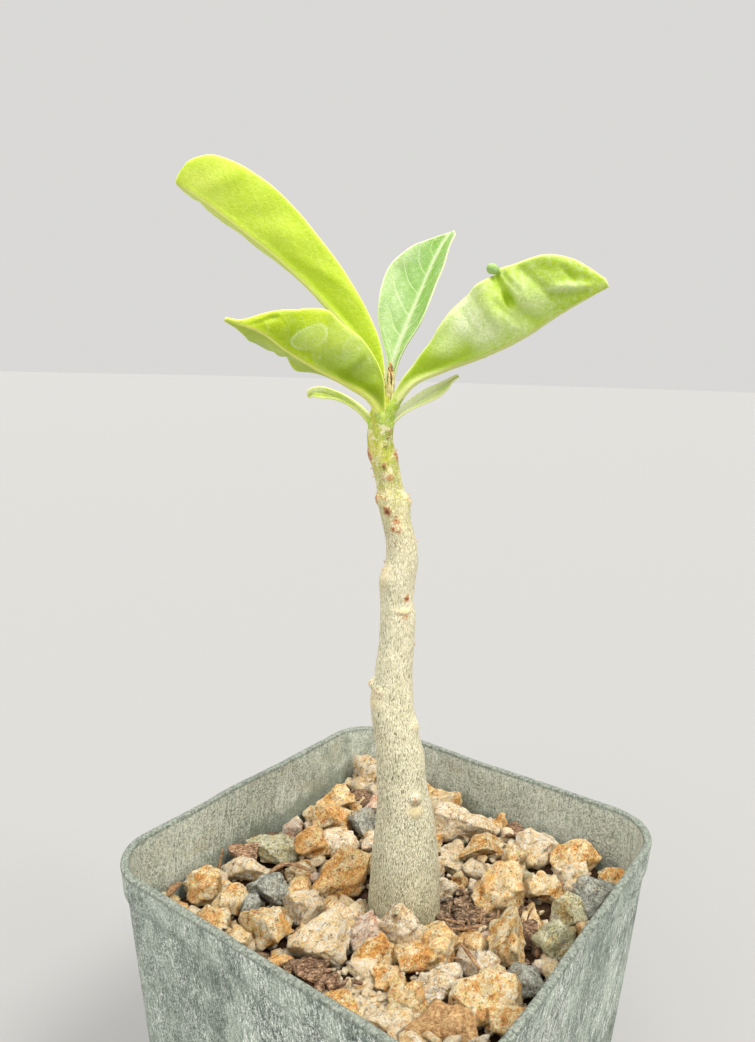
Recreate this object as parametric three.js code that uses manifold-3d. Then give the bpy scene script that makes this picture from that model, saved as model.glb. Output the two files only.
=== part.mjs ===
// A young desert rose in a square nursery pot, topped with granite chips. Millimetres, +Z up.
// The origin is the centre of the pot's underside, and the pot's sides face along X and Y.
import * as THREE from 'three';
import { ConvexGeometry } from 'three/addons/geometries/ConvexGeometry.js';
import * as BufferGeometryUtils from 'three/addons/utils/BufferGeometryUtils.js';
import Module from 'manifold-3d';

// Driving dimensions

const GAP = 0.3; // kept between neighbouring pieces

const POT_WIDTH = 89; // across the rim, a 3.5 inch nursery pot
const POT_HEIGHT = 85;
const POT_CORNER = 12; // radius of the rounded corners, seen from above
const POT_DRAFT = 0.075; // how much each side leans out for each mm of height
const POT_WALL = 1.1;
const POT_FLOOR = 1.6;
const BAND_HEIGHT = 7; // the rim band
const BAND_PROUD = 0.5;
const FOOT_ROUND = 1.5; // the rounded edge round the underside
const DRAIN_RADIUS = 4.5;
const DRAIN_SPREAD = 22; // each drain hole's distance from the middle, along X and Y

const SOIL_TOP = 65;
const BED_TOP = 67.6; // the packed stones that the loose ones sit in
const HEAP_RISE = 2.8; // how much higher the bed lies along the +X wall
const HEAP_FOOT = 17; // where the rise starts and ends, along X
const HEAP_CREST = 33;
const MOUND_TOP = 68.6; // soil that shows beside the stem
const MOUND_RADIUS = 11; // round the stem
const PATCH_PLACE = [7.5, -14.5];
const PATCH_RADIUS = 6.5;

const PLANT_PLACE = [0.8, -1.9]; // where the stem stands
const PLANT_FACING = THREE.MathUtils.degToRad(-53.65); // the way the plant's own X axis points
const ROOT_DEPTH = 46; // how far the root reaches under the stones

// The stem: height over the rim, sideways place and radius
const STEM = [
  [-18, 0, 7.9],
  [-12, 0, 7.65],
  [-5, -0.2, 7.3],
  [1.5, -0.3, 6.7],
  [8, -0.6, 6.0],
  [14.5, -1.5, 5.3],
  [21, -2.1, 5.0],
  [25, -2.9, 4.65],
  [30, -3.8, 4.45],
  [34.5, -3.9, 4.1],
  [39, -3.9, 3.85],
  [45, -3.4, 3.6],
  [51, -3.4, 3.6],
  [55, -3.75, 3.45],
  [58.5, -3.75, 3.65],
  [62, -3.0, 3.35],
  [66, -3.2, 3.1],
  [70.5, -4.3, 3.0],
  [74.5, -5.0, 3.15],
  [77, -5.7, 2.7],
  [82.5, -7.1, 2.7],
  [86.5, -8.0, 2.55],
  [89, -7.9, 2.5],
  [91.5, -7.7, 2.5],
  [93.3, -7.4, 2.15],
  [95, -7.1, 1.6],
  [96.8, -6.8, 0.95],
];
const STEM_SIDES = 14;

// The root: share of its depth, sideways place and radius, from its end up
const ROOT = [
  [1, 2.5, 0.8],
  [0.75, 1.5, 2.6],
  [0.45, 0.4, 5.4],
  [0.2, 0, 7.7],
];

// Nubs and leaf scars: height over the rim, turn round the stem in degrees, length, width and how far they
// stand out
const NUBS = [
  [36.5, 183, 3.4, 2.6, 1.3],
  [33, 200, 4, 3.4, 0.6],
  [27.7, -20, 4.4, 3.6, 0.8],
  [12.8, -62, 3.2, 2.9, 0.9],
  [59.6, 205, 5, 2.6, 0.5],
  [51.8, -52, 2.2, 2.6, 0.45],
  [69.2, 240, 1.7, 2.4, 0.4],
  [72.6, 230, 1.8, 2.2, 0.5],
  [74.8, 175, 2.2, 2.0, 0.7],
  [74.8, 5, 2.0, 2.0, 0.6],
  [79.4, -80, 1.6, 2.2, 0.4],
  [83.5, 200, 1.6, 2.0, 0.45],
  [83.8, -35, 1.6, 2.0, 0.45],
  [64, 60, 2.2, 2.6, 0.5],
  [47, 110, 2.4, 2.8, 0.5],
  [56, 20, 2.2, 2.4, 0.4],
  [78, 100, 1.6, 2.0, 0.45],
  [86.5, 60, 1.6, 2.0, 0.4],
];

// A leaf follows its midrib from the stem to the tip, in the plant's own frame: X to the right, Y away from
// the front and Z over the rim. Each half has [place along the midrib from 0 to 1, width] pairs, and an angle
// about the midrib: 0 is upright, positive leans to the front and beyond 90 it hangs. The sweep is the veins'
// lean to the tip, which fades out there, and the curl is how far a half bends from midrib to margin. Each
// wave is [place, length, height, side].
const LEAVES = {
  leaf_upper_left: {
    color: 0xa9c83c,
    midrib: [
      [-7.5, 0.9, 94.3],
      [-11.4, 1.4, 103.6],
      [-18.6, 2.2, 112.0],
      [-27.2, 3.2, 119.9],
      [-36.5, 4.4, 126.7],
      [-44.0, 5.6, 132.0],
      [-49.4, 6.4, 135.2],
    ],
    upper: [
      [0, 0.9], [0.12, 3], [0.28, 6.3], [0.42, 8.3], [0.58, 10.4], [0.7, 9.9], [0.8, 8.4],
      [0.9, 6.6], [0.97, 4.6], [1, 1.4],
    ],
    lower: [
      [0, 0.9], [0.12, 2.4], [0.3, 6.2], [0.5, 9.2], [0.68, 9.9], [0.82, 8.2], [0.92, 6],
      [0.97, 4.2], [1, 1.4],
    ],
    angles: [15, -100],
    side: -1,
    sweep: 22,
    curl: [-16, 14],
    waves: [[0.45, 0.12, 0.5, 1], [0.7, 0.12, 0.7, -1]],
  },
  leaf_lower_left: {
    color: 0x9ab84c,
    midrib: [
      [-8.0, -1.6, 91.2],
      [-10.0, -4.0, 94.6],
      [-14.8, -7, 97.6],
      [-20.0, -9.5, 100.2],
      [-24.9, -11.5, 103.0],
      [-29.6, -13.2, 106.2],
      [-35.5, -15, 107.8],
    ],
    upper: [
      [0, 0.9], [0.13, 2.9], [0.22, 6.4], [0.3, 8.4], [0.42, 9.4], [0.52, 10.1], [0.64, 8.3],
      [0.76, 5.6], [0.87, 2], [0.93, 0.7], [1, 0.4],
    ],
    lower: [
      [0, 0.9], [0.15, 1.4], [0.32, 2.8], [0.48, 5.8], [0.6, 8], [0.72, 7.8], [0.84, 5],
      [0.94, 1.8], [1, 0.5],
    ],
    angles: [15, -107],
    side: -1,
    sweep: 15,
    curl: [-20, 10],
    waves: [[0.36, 0.08, 0.5, 1], [0.6, 0.08, -0.6, -1], [0.76, 0.07, 0.7, -1]],
  },
  leaf_centre: {
    color: 0x74b57c,
    midrib: [
      [-6.8, 1.1, 94.8],
      [-5.6, 3.6, 103.0],
      [-3.2, 5.4, 109.9],
      [-0.9, 7, 115.8],
      [1.5, 8.5, 121.5],
      [3.7, 9.5, 125.4],
      [5.9, 10, 127.5],
    ],
    upper: [
      [0, 0.8], [0.13, 1.7], [0.18, 3.7], [0.26, 6.6], [0.38, 7.6], [0.48, 7.5], [0.6, 5.8],
      [0.72, 3.3], [0.87, 1], [1, 0.4],
    ],
    lower: [
      [0, 0.8], [0.12, 1.8], [0.2, 3.6], [0.3, 6.4], [0.42, 7.5], [0.54, 7], [0.68, 4.6], [0.82, 2],
      [1, 0.4],
    ],
    angles: [0, 116],
    side: 1,
    sweep: 20,
    curl: [14, -12],
    waves: [[0.3, 0.08, 0.4, 1], [0.55, 0.1, 0.5, -1]],
  },
  leaf_right: {
    color: 0x9fbe55,
    midrib: [
      [-5.9, -1.9, 92.8],
      [-2.2, -4, 97.7],
      [3.6, -5.6, 100.5],
      [10.6, -7.6, 103.2],
      [17.0, -9.4, 106.4],
      [24.0, -11, 111.2],
      [31.1, -13, 115.3],
    ],
    upper: [
      [0, 0.9], [0.18, 2.5], [0.27, 5.2], [0.4, 10.3], [0.48, 11.9], [0.6, 12.3], [0.66, 12.8],
      [0.75, 11.7], [0.84, 10.1], [0.92, 7.2], [0.97, 3.4], [1, 1],
    ],
    lower: [
      [0, 0.9], [0.18, 2.4], [0.3, 6.2], [0.4, 11.2], [0.5, 10.6], [0.65, 10.6], [0.8, 8.4],
      [0.92, 4.8], [1, 0.9],
    ],
    angles: [10, -38],
    side: 1,
    sweep: 10,
    curl: [-26, -16],
    waves: [
      [0.44, 0.05, -1.6, 1], [0.56, 0.07, 1.2, 1], [0.7, 0.07, -0.9, 1], [0.84, 0.06, 0.8, 1],
      [0.6, 0.1, -0.8, -1],
    ],
  },
  leaflet_left: {
    color: 0x8fae4a,
    midrib: [
      [-9.8, -0.9, 89.9],
      [-12.0, -1.2, 92.3],
      [-14.9, -1.4, 94.1],
      [-18.5, -1.6, 95.3],
      [-22.3, -1.8, 95.4],
    ],
    upper: [[0, 0.7], [0.3, 0.9], [0.6, 1.2], [0.85, 1], [1, 0.4]],
    lower: [[0, 0.7], [0.3, 0.7], [0.6, 0.8], [0.85, 0.6], [1, 0.4]],
    angles: [25, 150],
    side: -1,
    sweep: 0,
    curl: [0, 0],
    waves: [],
  },
  leaflet_right: {
    color: 0x7fae5a,
    midrib: [
      [-5.9, -1.4, 90.2],
      [-3.9, -1.9, 92.2],
      [-1.0, -2.1, 94.2],
      [2.6, -2.3, 96.5],
      [6.6, -2.5, 99.3],
    ],
    upper: [[0, 0.7], [0.2, 1], [0.4, 1.5], [0.65, 1.9], [0.85, 1.2], [1, 0.4]],
    lower: [[0, 0.7], [0.2, 0.8], [0.4, 1.0], [0.65, 1.2], [0.85, 0.8], [1, 0.4]],
    angles: [25, 135],
    side: 1,
    sweep: 0,
    curl: [0, 0],
    waves: [],
  },
};
const BLADE_THICKNESS = 0.64;
const MIDRIB_THICKNESS = 1.2; // at the stem
const MIDRIB_TAPER = 0.8; // the share of that swelling lost by the tip
const MIDRIB_REACH = 1.1; // how far from its middle the midrib stands out
const LEAF_ROWS = 20;
const LEAFLET_ROWS = 8;
const SWEEP_FADE = 6; // the veins' lean fades with this power of the place along the midrib
const ROW_CROWDING = 1.35; // 1 spaces the rows evenly, more crowds them to the tip
const HALF_COLUMNS = 4;

const BUD_PLACE = [-6.4, -0.7, 97.2];
const BUD_LENGTH = 3.4;
const BUD_RADIUS = 0.62;

// The chips that show most: [x, y, height of the middle, long, wide, high, turn in degrees from the plant's X
// axis]
const LANDMARK_STONES = [
  [35.5, 36.5, 73.5, 10, 9, 11, 0],
  [31.5, 33.5, 70, 9, 6, 4, 10],
  [23.5, 36, 71, 11, 8, 8, 0],
  [7.5, 37, 70, 6, 6, 6, 20],
  [15, 30.5, 71, 11, 7, 8, 10],
  [4.5, 28, 71, 12, 9, 10, 80],
  [21, 24.5, 70, 8, 8, 7, 30],
  [-3, 34, 71, 13, 9, 8, -5],
  [-9, 38.5, 70.5, 7, 5, 6, 0],
  [-11, 34, 70, 12, 7, 6, -10],
  [10, 23.5, 70, 10, 9, 8, 0],
  [0, 15, 71, 16, 11, 9, 40],
  [-15.5, 25.5, 71, 12, 7, 8, -30],
  [-23.5, 36, 71, 9, 8, 8, 0],
  [-22, 29, 71, 10, 8, 9, 70],
  [-19.5, 24.5, 69.5, 4.5, 4.5, 5, 0],
  [-14.5, 14, 70.5, 9, 8, 8, 0],
  [-10, 7, 70, 7, 5, 6, 0],
  [-24, 15.5, 71, 11, 10, 9, 0],
  [-18.5, 11, 69, 3.5, 3.5, 4, 0],
  [-20.5, 4, 71, 13, 10, 9, 30],
  [-12.5, -2.5, 70.5, 8.5, 7, 8, -20],
  [-8.3, -6.6, 72, 9, 8, 11, 10],
  [-15, -6.5, 70, 9.5, 7, 7, 0],
  [-8.5, -14, 71, 12, 11, 10, 15],
  [-19.5, -6, 69.5, 6, 5, 5, 0],
  [-15, -20, 70, 10, 8, 7, 0],
  [-27, -1, 69.5, 13, 7, 4, -30],
  [-21, -18.5, 70, 8, 7, 7, 0],
  [-22, -26.5, 70, 12.5, 7, 7, 10],
  [-12.5, -29.5, 71, 13.5, 10, 9, 20],
  [-15, -36, 70.5, 9, 7, 8, 0],
  [3.5, -25.5, 71, 11, 8, 10, 80],
  [-3, -33, 70, 8.5, 8, 7, 0],
  [16.5, -17, 71.5, 13, 11, 11, 60],
  [29.5, -6.5, 71.5, 17, 7, 7, 35],
  [33, 2.5, 72.5, 17, 9, 9, 5],
  [36.5, 10, 73, 9, 8, 9, 0],
  [38.5, -4.5, 73, 4, 4, 6, 0],
  [34, -17.5, 72.5, 10.5, 9, 8, -10],
  [28.5, -14.5, 72, 8, 6, 9, 75],
  [23.5, -22.5, 71, 9.5, 8, 8, 0],
  [36, -26.5, 73, 12, 7, 8, 15],
  [29.5, -28, 72, 9, 8, 9, 60],
  [35.5, -36, 72.5, 7, 5, 5, 0],
  [28.5, -35, 71.5, 12, 9, 9, 20],
  [20.5, -32, 70.5, 8.5, 8, 8, 0],
  [10.5, -33, 71, 12, 10, 10, 60],
  [10, -27.5, 70, 4.5, 4, 6, 0],
  [16.5, -37.5, 70.5, 5, 5, 6, 0],
  [1.5, -37.5, 70, 6, 6, 6, 0],
  [15.5, 0, 70, 8, 4.5, 7, 70],
  [17, -6.5, 69.5, 4, 3.5, 5, 0],
  [21.5, -7.5, 70, 5.5, 4.5, 6, 0],
  [-29, 17.5, 70, 5, 5, 6, 0],
  [-29.5, 26.5, 70.5, 10, 7, 7, -60],
];
const STONE_POINTS = 11;
const STONE_BOXINESS = 0.8; // 1 is an ellipsoid, less is squarer
const STONE_LEAST_REACH = 0.86; // how far in a stone's dullest corner lies
const STONE_JITTER = 0.7; // radians that a corner strays round the stone
const STONE_TILT = 0.25; // radians that a stone leans at most
const GOLDEN_ANGLE = Math.PI * (3 - Math.sqrt(5));
const FILL_SEED = 20231;
const FILL_TRIES = 2600;
const FILL_REACH = 39.5; // the furthest a filling stone's middle lies from the pot's, along X and Y
const FILL_LARGEST = 9.5;
const FILL_SMALLEST = 3.8;
const FILL_CLOSENESS = 0.84; // of touching, because chips nest
const FILL_MARGIN = 0.25; // room past the stem and the soil patch, for each mm of the stone's size
const FILL_PROUD = 0.17; // how far a filling stone's middle lies over the bed, for each mm of its size
const FILL_FLATNESS = 0.75; // a filling stone's height, for each mm of its length
const FILL_SLENDER = [0.65, 0.95]; // its width, for each mm of its length
const STEM_CLEARANCE = 9.5;

// Bark flakes lying on the soil that shows: [x, y, long, wide, turn in degrees, tilt in degrees]
const BARK_FLAKES = [
  [9, -10.5, 6, 2.6, 20, 12],
  [12.5, -14, 5, 2.2, 75, -14],
  [5.5, -14.5, 6.5, 2.4, -40, 10],
  [8.5, -17.5, 5.5, 2.8, 10, -12],
  [3.5, -11.5, 4.5, 2.0, 100, 15],
];
const FLAKE_THICKNESS = 1.1;

// Materials

function finish(color, roughness) {
  return new THREE.MeshStandardMaterial({ color, roughness, metalness: 0 });
}

const MATERIALS = {
  pot: finish(0x7f8f84, 0.7),
  soil: finish(0x4a3426, 0.95),
  stone: finish(0xc7a676, 0.85),
  bark: finish(0xa6a27e, 0.75),
  bud: finish(0x9a5a2c, 0.7),
};

// Booleans

const library = await Module();
library.setup();

function solid(geometry) {
  const bare = geometry.clone();
  bare.deleteAttribute('normal');
  bare.deleteAttribute('uv');
  const merged = BufferGeometryUtils.mergeVertices(bare, 1e-4);
  const mesh = new library.Mesh({
    numProp: 3,
    vertProperties: new Float32Array(merged.attributes.position.array),
    triVerts: new Uint32Array(merged.index.array),
  });
  return new library.Manifold(mesh);
}

// The largest connected body of a solid, so that a scrap cut loose is dropped.
function largestBody(manifold) {
  const mesh = manifold.getMesh();
  const positions = mesh.vertProperties;
  const triangles = mesh.triVerts;
  const parent = Array.from({ length: positions.length / mesh.numProp }, (_, i) => i);
  const root = (i) => {
    while (parent[i] !== i) {
      parent[i] = parent[parent[i]];
      i = parent[i];
    }
    return i;
  };
  for (let i = 0; i < triangles.length; i += 3) {
    parent[root(triangles[i])] = root(triangles[i + 1]);
    parent[root(triangles[i + 1])] = root(triangles[i + 2]);
  }
  const groups = new Map();
  for (let i = 0; i < triangles.length; i += 3) {
    const key = root(triangles[i]);
    if (!groups.has(key)) groups.set(key, []);
    groups.get(key).push(triangles[i], triangles[i + 1], triangles[i + 2]);
  }
  const kept = [...groups.values()].sort((a, b) => b.length - a.length)[0];
  const geometry = new THREE.BufferGeometry();
  geometry.setAttribute('position', new THREE.BufferAttribute(new Float32Array(positions), 3));
  geometry.setIndex(kept);
  return geometry;
}

// Repeatable random numbers from 0 to 1.
function randomFrom(seed) {
  let state = seed;
  return () => {
    state = (state + 0x6d2b79f5) | 0;
    let t = Math.imul(state ^ (state >>> 15), 1 | state);
    t = (t + Math.imul(t ^ (t >>> 7), 61 | t)) ^ t;
    return ((t ^ (t >>> 14)) >>> 0) / 4294967296;
  };
}

// Lofts

// A closed mesh through rings of points, all of the same count, with a fan over the first and last ring.
function loft(rings) {
  const count = rings[0].length;
  const points = rings.flat();
  const index = [];
  for (let r = 0; r < rings.length - 1; r += 1) {
    for (let i = 0; i < count; i += 1) {
      const a = r * count + i;
      const b = r * count + ((i + 1) % count);
      index.push(a, b, b + count, a, b + count, a + count);
    }
  }
  const middle = (ring) => ring.reduce((sum, p) => sum.add(p), new THREE.Vector3()).divideScalar(count);
  const first = points.push(middle(rings[0])) - 1;
  const last = points.push(middle(rings[rings.length - 1])) - 1;
  const top = (rings.length - 1) * count;
  for (let i = 0; i < count; i += 1) {
    const next = (i + 1) % count;
    index.push(first, next, i, last, top + i, top + next);
  }
  const geometry = new THREE.BufferGeometry().setFromPoints(points);
  geometry.setIndex(index);
  return geometry;
}

const CORNER_STEPS = 5;

// A square ring with round corners, at a height.
function squareRing(half, corner, z) {
  const ring = [];
  for (let quarter = 0; quarter < 4; quarter += 1) {
    const start = (quarter * Math.PI) / 2;
    const sx = Math.sign(Math.cos(start + 0.1));
    const sy = Math.sign(Math.sin(start + 0.1));
    for (let step = 0; step <= CORNER_STEPS; step += 1) {
      const angle = start + (step / CORNER_STEPS) * (Math.PI / 2);
      const x = sx * (half - corner) + corner * Math.cos(angle);
      const y = sy * (half - corner) + corner * Math.sin(angle);
      ring.push(new THREE.Vector3(x, y, z));
    }
  }
  return ring;
}

// The pot, soil and stones

// Half the width of the pot's outside under the band.
function outerHalf(z) {
  return POT_WIDTH / 2 - BAND_PROUD - POT_DRAFT * (POT_HEIGHT - z);
}

function innerHalf(z) {
  return outerHalf(z) - POT_WALL;
}

// What fits inside the pot between two heights, clear of its wall.
function potFilling(low, high) {
  const ring = (z) => squareRing(innerHalf(z) - GAP, POT_CORNER - POT_WALL - GAP, z);
  return loft([ring(low), ring(high)]);
}

function potGeometry() {
  const bandFoot = POT_HEIGHT - BAND_HEIGHT;
  const rings = [
    squareRing(outerHalf(0) - FOOT_ROUND, POT_CORNER - FOOT_ROUND, 0),
    squareRing(outerHalf(FOOT_ROUND), POT_CORNER, FOOT_ROUND),
    squareRing(outerHalf(bandFoot), POT_CORNER, bandFoot),
    squareRing(outerHalf(bandFoot) + BAND_PROUD, POT_CORNER + BAND_PROUD, bandFoot + BAND_PROUD),
    squareRing(POT_WIDTH / 2, POT_CORNER + BAND_PROUD, POT_HEIGHT),
    squareRing(innerHalf(POT_HEIGHT), POT_CORNER - POT_WALL, POT_HEIGHT),
    squareRing(innerHalf(POT_FLOOR), POT_CORNER - POT_WALL, POT_FLOOR),
  ];
  let pot = solid(loft(rings));
  const drain = new THREE.CylinderGeometry(DRAIN_RADIUS, DRAIN_RADIUS, 4 * POT_FLOOR, 14);
  drain.rotateX(Math.PI / 2);
  for (const sx of [-1, 1]) {
    for (const sy of [-1, 1]) {
      pot = pot.subtract(solid(drain.clone().translate(sx * DRAIN_SPREAD, sy * DRAIN_SPREAD, 0)));
    }
  }
  return largestBody(pot);
}

// The soil that shows: a circle round the stem run into a smaller one over the patch beside it.
function moundGeometry(extra, low, high) {
  const [px, py] = PATCH_PLACE;
  const [sx, sy] = PLANT_PLACE;
  const away = Math.atan2(py - sy, px - sx);
  const shape = new THREE.Shape();
  shape.absarc(sx, sy, MOUND_RADIUS + extra, away + Math.PI / 2, away - Math.PI / 2, false);
  shape.absarc(px, py, PATCH_RADIUS + extra, away - Math.PI / 2, away + Math.PI / 2, false);
  const options = { depth: high - low, bevelEnabled: false, curveSegments: 8 };
  const geometry = new THREE.ExtrudeGeometry(shape, options);
  return geometry.translate(0, 0, low);
}

function barkFlake([x, y, long, wide, turn, tilt]) {
  const flake = new THREE.BoxGeometry(long, wide, FLAKE_THICKNESS);
  flake.rotateY(THREE.MathUtils.degToRad(tilt));
  flake.rotateZ(THREE.MathUtils.degToRad(turn));
  return flake.translate(x, y, MOUND_TOP);
}

function soilGeometry() {
  let soil = solid(potFilling(POT_FLOOR + GAP, SOIL_TOP));
  soil = soil.add(solid(moundGeometry(0, SOIL_TOP - 1, MOUND_TOP)));
  for (const flake of BARK_FLAKES) soil = soil.add(solid(barkFlake(flake)));
  return largestBody(soil.subtract(solid(placed(stemLoft(GAP)))));
}

// An angular chip: the hull of points spread evenly over a boxy ellipsoid and then jittered.
function chip(long, wide, high, random) {
  const points = [];
  for (let i = 0; i < STONE_POINTS; i += 1) {
    const z = 1 - (2 * (i + 0.5)) / STONE_POINTS;
    const angle = i * GOLDEN_ANGLE + random() * STONE_JITTER;
    const radius = Math.sqrt(1 - z * z);
    const reach = THREE.MathUtils.lerp(STONE_LEAST_REACH, 1, random());
    const boxy = (c) => Math.sign(c) * Math.abs(c) ** STONE_BOXINESS * reach;
    points.push(new THREE.Vector3(
      (boxy(radius * Math.cos(angle)) * long) / 2,
      (boxy(radius * Math.sin(angle)) * wide) / 2,
      (boxy(z) * high) / 2,
    ));
  }
  return new ConvexGeometry(points);
}

// Every stone: the landmark ones, then smaller and smaller ones in the room that is left.
function stoneList() {
  const random = randomFrom(FILL_SEED);
  const stones = LANDMARK_STONES.map((s) => [...s]);
  for (let i = 0; i < FILL_TRIES; i += 1) {
    const x = (2 * random() - 1) * FILL_REACH;
    const y = (2 * random() - 1) * FILL_REACH;
    const size = FILL_LARGEST + (FILL_SMALLEST - FILL_LARGEST) * (i / FILL_TRIES);
    const turn = random() * 360;
    const slender = THREE.MathUtils.lerp(...FILL_SLENDER, random());
    const stemAway = Math.hypot(x - PLANT_PLACE[0], y - PLANT_PLACE[1]);
    const patchAway = Math.hypot(x - PATCH_PLACE[0], y - PATCH_PLACE[1]);
    const inCorner = Math.min(Math.abs(x), Math.abs(y)) > FILL_REACH - 3;
    const onStem = stemAway < STEM_CLEARANCE + size * FILL_MARGIN;
    const onPatch = patchAway < PATCH_RADIUS + size * FILL_MARGIN;
    const near = stones.some((s) => {
      const room = ((size + (s[3] + s[4]) / 2) / 2) * FILL_CLOSENESS;
      return Math.hypot(x - s[0], y - s[1]) < room;
    });
    if (!inCorner && !onStem && !onPatch && !near) {
      const z = bedHeight(x) + size * FILL_PROUD;
      stones.push([x, y, z, size, size * slender, size * FILL_FLATNESS, turn]);
    }
  }
  return stones;
}

// How high the packed bed lies: it is heaped along the +X wall.
function bedHeight(x) {
  return BED_TOP + HEAP_RISE * THREE.MathUtils.clamp((x - HEAP_FOOT) / (HEAP_CREST - HEAP_FOOT), 0, 1);
}

function bedGeometry() {
  const reach = POT_WIDTH / 2;
  const foot = SOIL_TOP + GAP;
  const outline = [
    [-reach, foot],
    [reach, foot],
    [reach, BED_TOP + HEAP_RISE],
    [HEAP_CREST, BED_TOP + HEAP_RISE],
    [HEAP_FOOT, BED_TOP],
    [-reach, BED_TOP],
  ];
  const shape = new THREE.Shape(outline.map(([x, z]) => new THREE.Vector2(x, z)));
  const bed = new THREE.ExtrudeGeometry(shape, { depth: POT_WIDTH, bevelEnabled: false });
  return bed.rotateX(Math.PI / 2).translate(0, reach, 0);
}

function gravelGeometry() {
  const random = randomFrom(FILL_SEED + 1);
  let gravel = solid(bedGeometry());
  for (const [x, y, z, long, wide, high, turn] of stoneList()) {
    const stone = chip(long, wide, high, random);
    stone.rotateX((2 * random() - 1) * STONE_TILT);
    stone.rotateY((2 * random() - 1) * STONE_TILT);
    stone.rotateZ(PLANT_FACING + THREE.MathUtils.degToRad(turn));
    gravel = gravel.add(solid(stone.translate(x, y, z)));
  }
  gravel = gravel.intersect(solid(potFilling(SOIL_TOP + GAP, POT_HEIGHT)));
  gravel = gravel.subtract(solid(moundGeometry(GAP, SOIL_TOP - 1, MOUND_TOP + GAP)));
  for (const flake of BARK_FLAKES) {
    const room = barkFlake([flake[0], flake[1], flake[2] + 1, flake[3] + 1, flake[4], flake[5]]);
    gravel = gravel.subtract(solid(room.translate(0, 0, GAP)));
  }
  return largestBody(gravel.subtract(solid(placed(stemLoft(GAP)))));
}

// The plant

const plant = new THREE.Group();
plant.position.set(PLANT_PLACE[0], PLANT_PLACE[1], POT_HEIGHT);
plant.rotation.z = PLANT_FACING;
plant.updateMatrix();

function placed(geometry) {
  return geometry.clone().applyMatrix4(plant.matrix);
}

// Smooth values between [place, value...] rows.
function between(rows, place) {
  const last = rows.length - 1;
  let i = 0;
  while (i < last - 1 && rows[i + 1][0] <= place) i += 1;
  const slope = (k, column) => {
    const a = rows[Math.max(k - 1, 0)];
    const b = rows[Math.min(k + 1, last)];
    return (b[column] - a[column]) / (b[0] - a[0]);
  };
  const [low, high] = [rows[i], rows[i + 1]];
  const span = high[0] - low[0];
  const t = THREE.MathUtils.clamp((place - low[0]) / span, 0, 1);
  return low.slice(1).map((value, k) => {
    const column = k + 1;
    const a = 2 * t ** 3 - 3 * t ** 2 + 1;
    const b = t ** 3 - 2 * t ** 2 + t;
    const c = t ** 3 - t ** 2;
    return a * value + b * span * slope(i, column) + (1 - a) * high[column] + c * span * slope(i + 1, column);
  });
}

// The stem and its root as one loft, with some extra radius where it makes the hole that it stands in.
function stemLoft(extra) {
  const foot = STEM[0];
  const rootRows = ROOT.map(([depth, x, radius]) => [foot[0] - ROOT_DEPTH * depth, x, radius]);
  const rings = [...rootRows, ...STEM].map(([z, x, radius], row, all) => {
    const end = row === 0 ? -extra : row === all.length - 1 ? extra : 0;
    return Array.from({ length: STEM_SIDES }, (_, i) => {
      const angle = (i / STEM_SIDES) * 2 * Math.PI;
      const reach = radius + extra;
      return new THREE.Vector3(x + reach * Math.cos(angle), reach * Math.sin(angle), z + end);
    });
  });
  return loft(rings);
}

function stemGeometry() {
  let stem = solid(stemLoft(0));
  for (const [z, turn, long, wide, proud] of NUBS) {
    const [x, radius] = between(STEM, z);
    const nub = new THREE.IcosahedronGeometry(1, 1).scale(proud * 2, wide / 2, long / 2);
    nub.translate(radius - proud, 0, 0).rotateZ(THREE.MathUtils.degToRad(turn)).translate(x, 0, z);
    stem = stem.add(solid(nub));
  }
  return largestBody(stem);
}

// A leaf as one closed blade. Both faces are split the same way.
function leafGeometry(leaf, rows) {
  const midrib = leaf.midrib.map((p) => new THREE.Vector3(...p));
  const curve = new THREE.CatmullRomCurve3(midrib, false, 'centripetal');
  const columns = 2 * HALF_COLUMNS;
  const middle = [];
  const thickness = [];
  for (let row = 0; row <= rows; row += 1) {
    const t = 1 - (1 - row / rows) ** ROW_CROWDING;
    const sweep = THREE.MathUtils.degToRad(leaf.sweep) * (1 - t ** SWEEP_FADE);
    const origin = curve.getPoint(t);
    const along = curve.getTangent(t);
    const front = new THREE.Vector3(0, -1, 0).projectOnPlane(along).normalize();
    const up = new THREE.Vector3().crossVectors(front, along).multiplyScalar(leaf.side);
    const line = [];
    for (let column = 0; column <= columns; column += 1) {
      const v = (column - HALF_COLUMNS) / HALF_COLUMNS;
      const half = v > 0 ? 0 : 1;
      const width = between(half === 0 ? leaf.upper : leaf.lower, t)[0];
      const bend = leaf.curl[half] * (Math.abs(v) - 0.5);
      const angle = THREE.MathUtils.degToRad(leaf.angles[half] + bend);
      const out = up.clone().multiplyScalar(Math.cos(angle)).addScaledVector(front, Math.sin(angle));
      const over = up.clone().multiplyScalar(-Math.sin(angle)).addScaledVector(front, Math.cos(angle));
      let rise = 0;
      for (const [place, length, height, side] of leaf.waves) {
        if (side === (half === 0 ? 1 : -1)) rise += height * Math.exp(-(((t - place) / length) ** 2)) * v * v;
      }
      const reach = width * Math.abs(v);
      line.push(origin.clone()
        .addScaledVector(out, reach * Math.cos(sweep))
        .addScaledVector(along, reach * Math.sin(sweep))
        .addScaledVector(over, rise));
      const swell = (MIDRIB_THICKNESS - BLADE_THICKNESS) * (1 - MIDRIB_TAPER * t);
      thickness.push(BLADE_THICKNESS + swell * Math.exp(-((reach / MIDRIB_REACH) ** 2)));
    }
    middle.push(line);
  }
  return bladeOver(middle, thickness);
}

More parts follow.
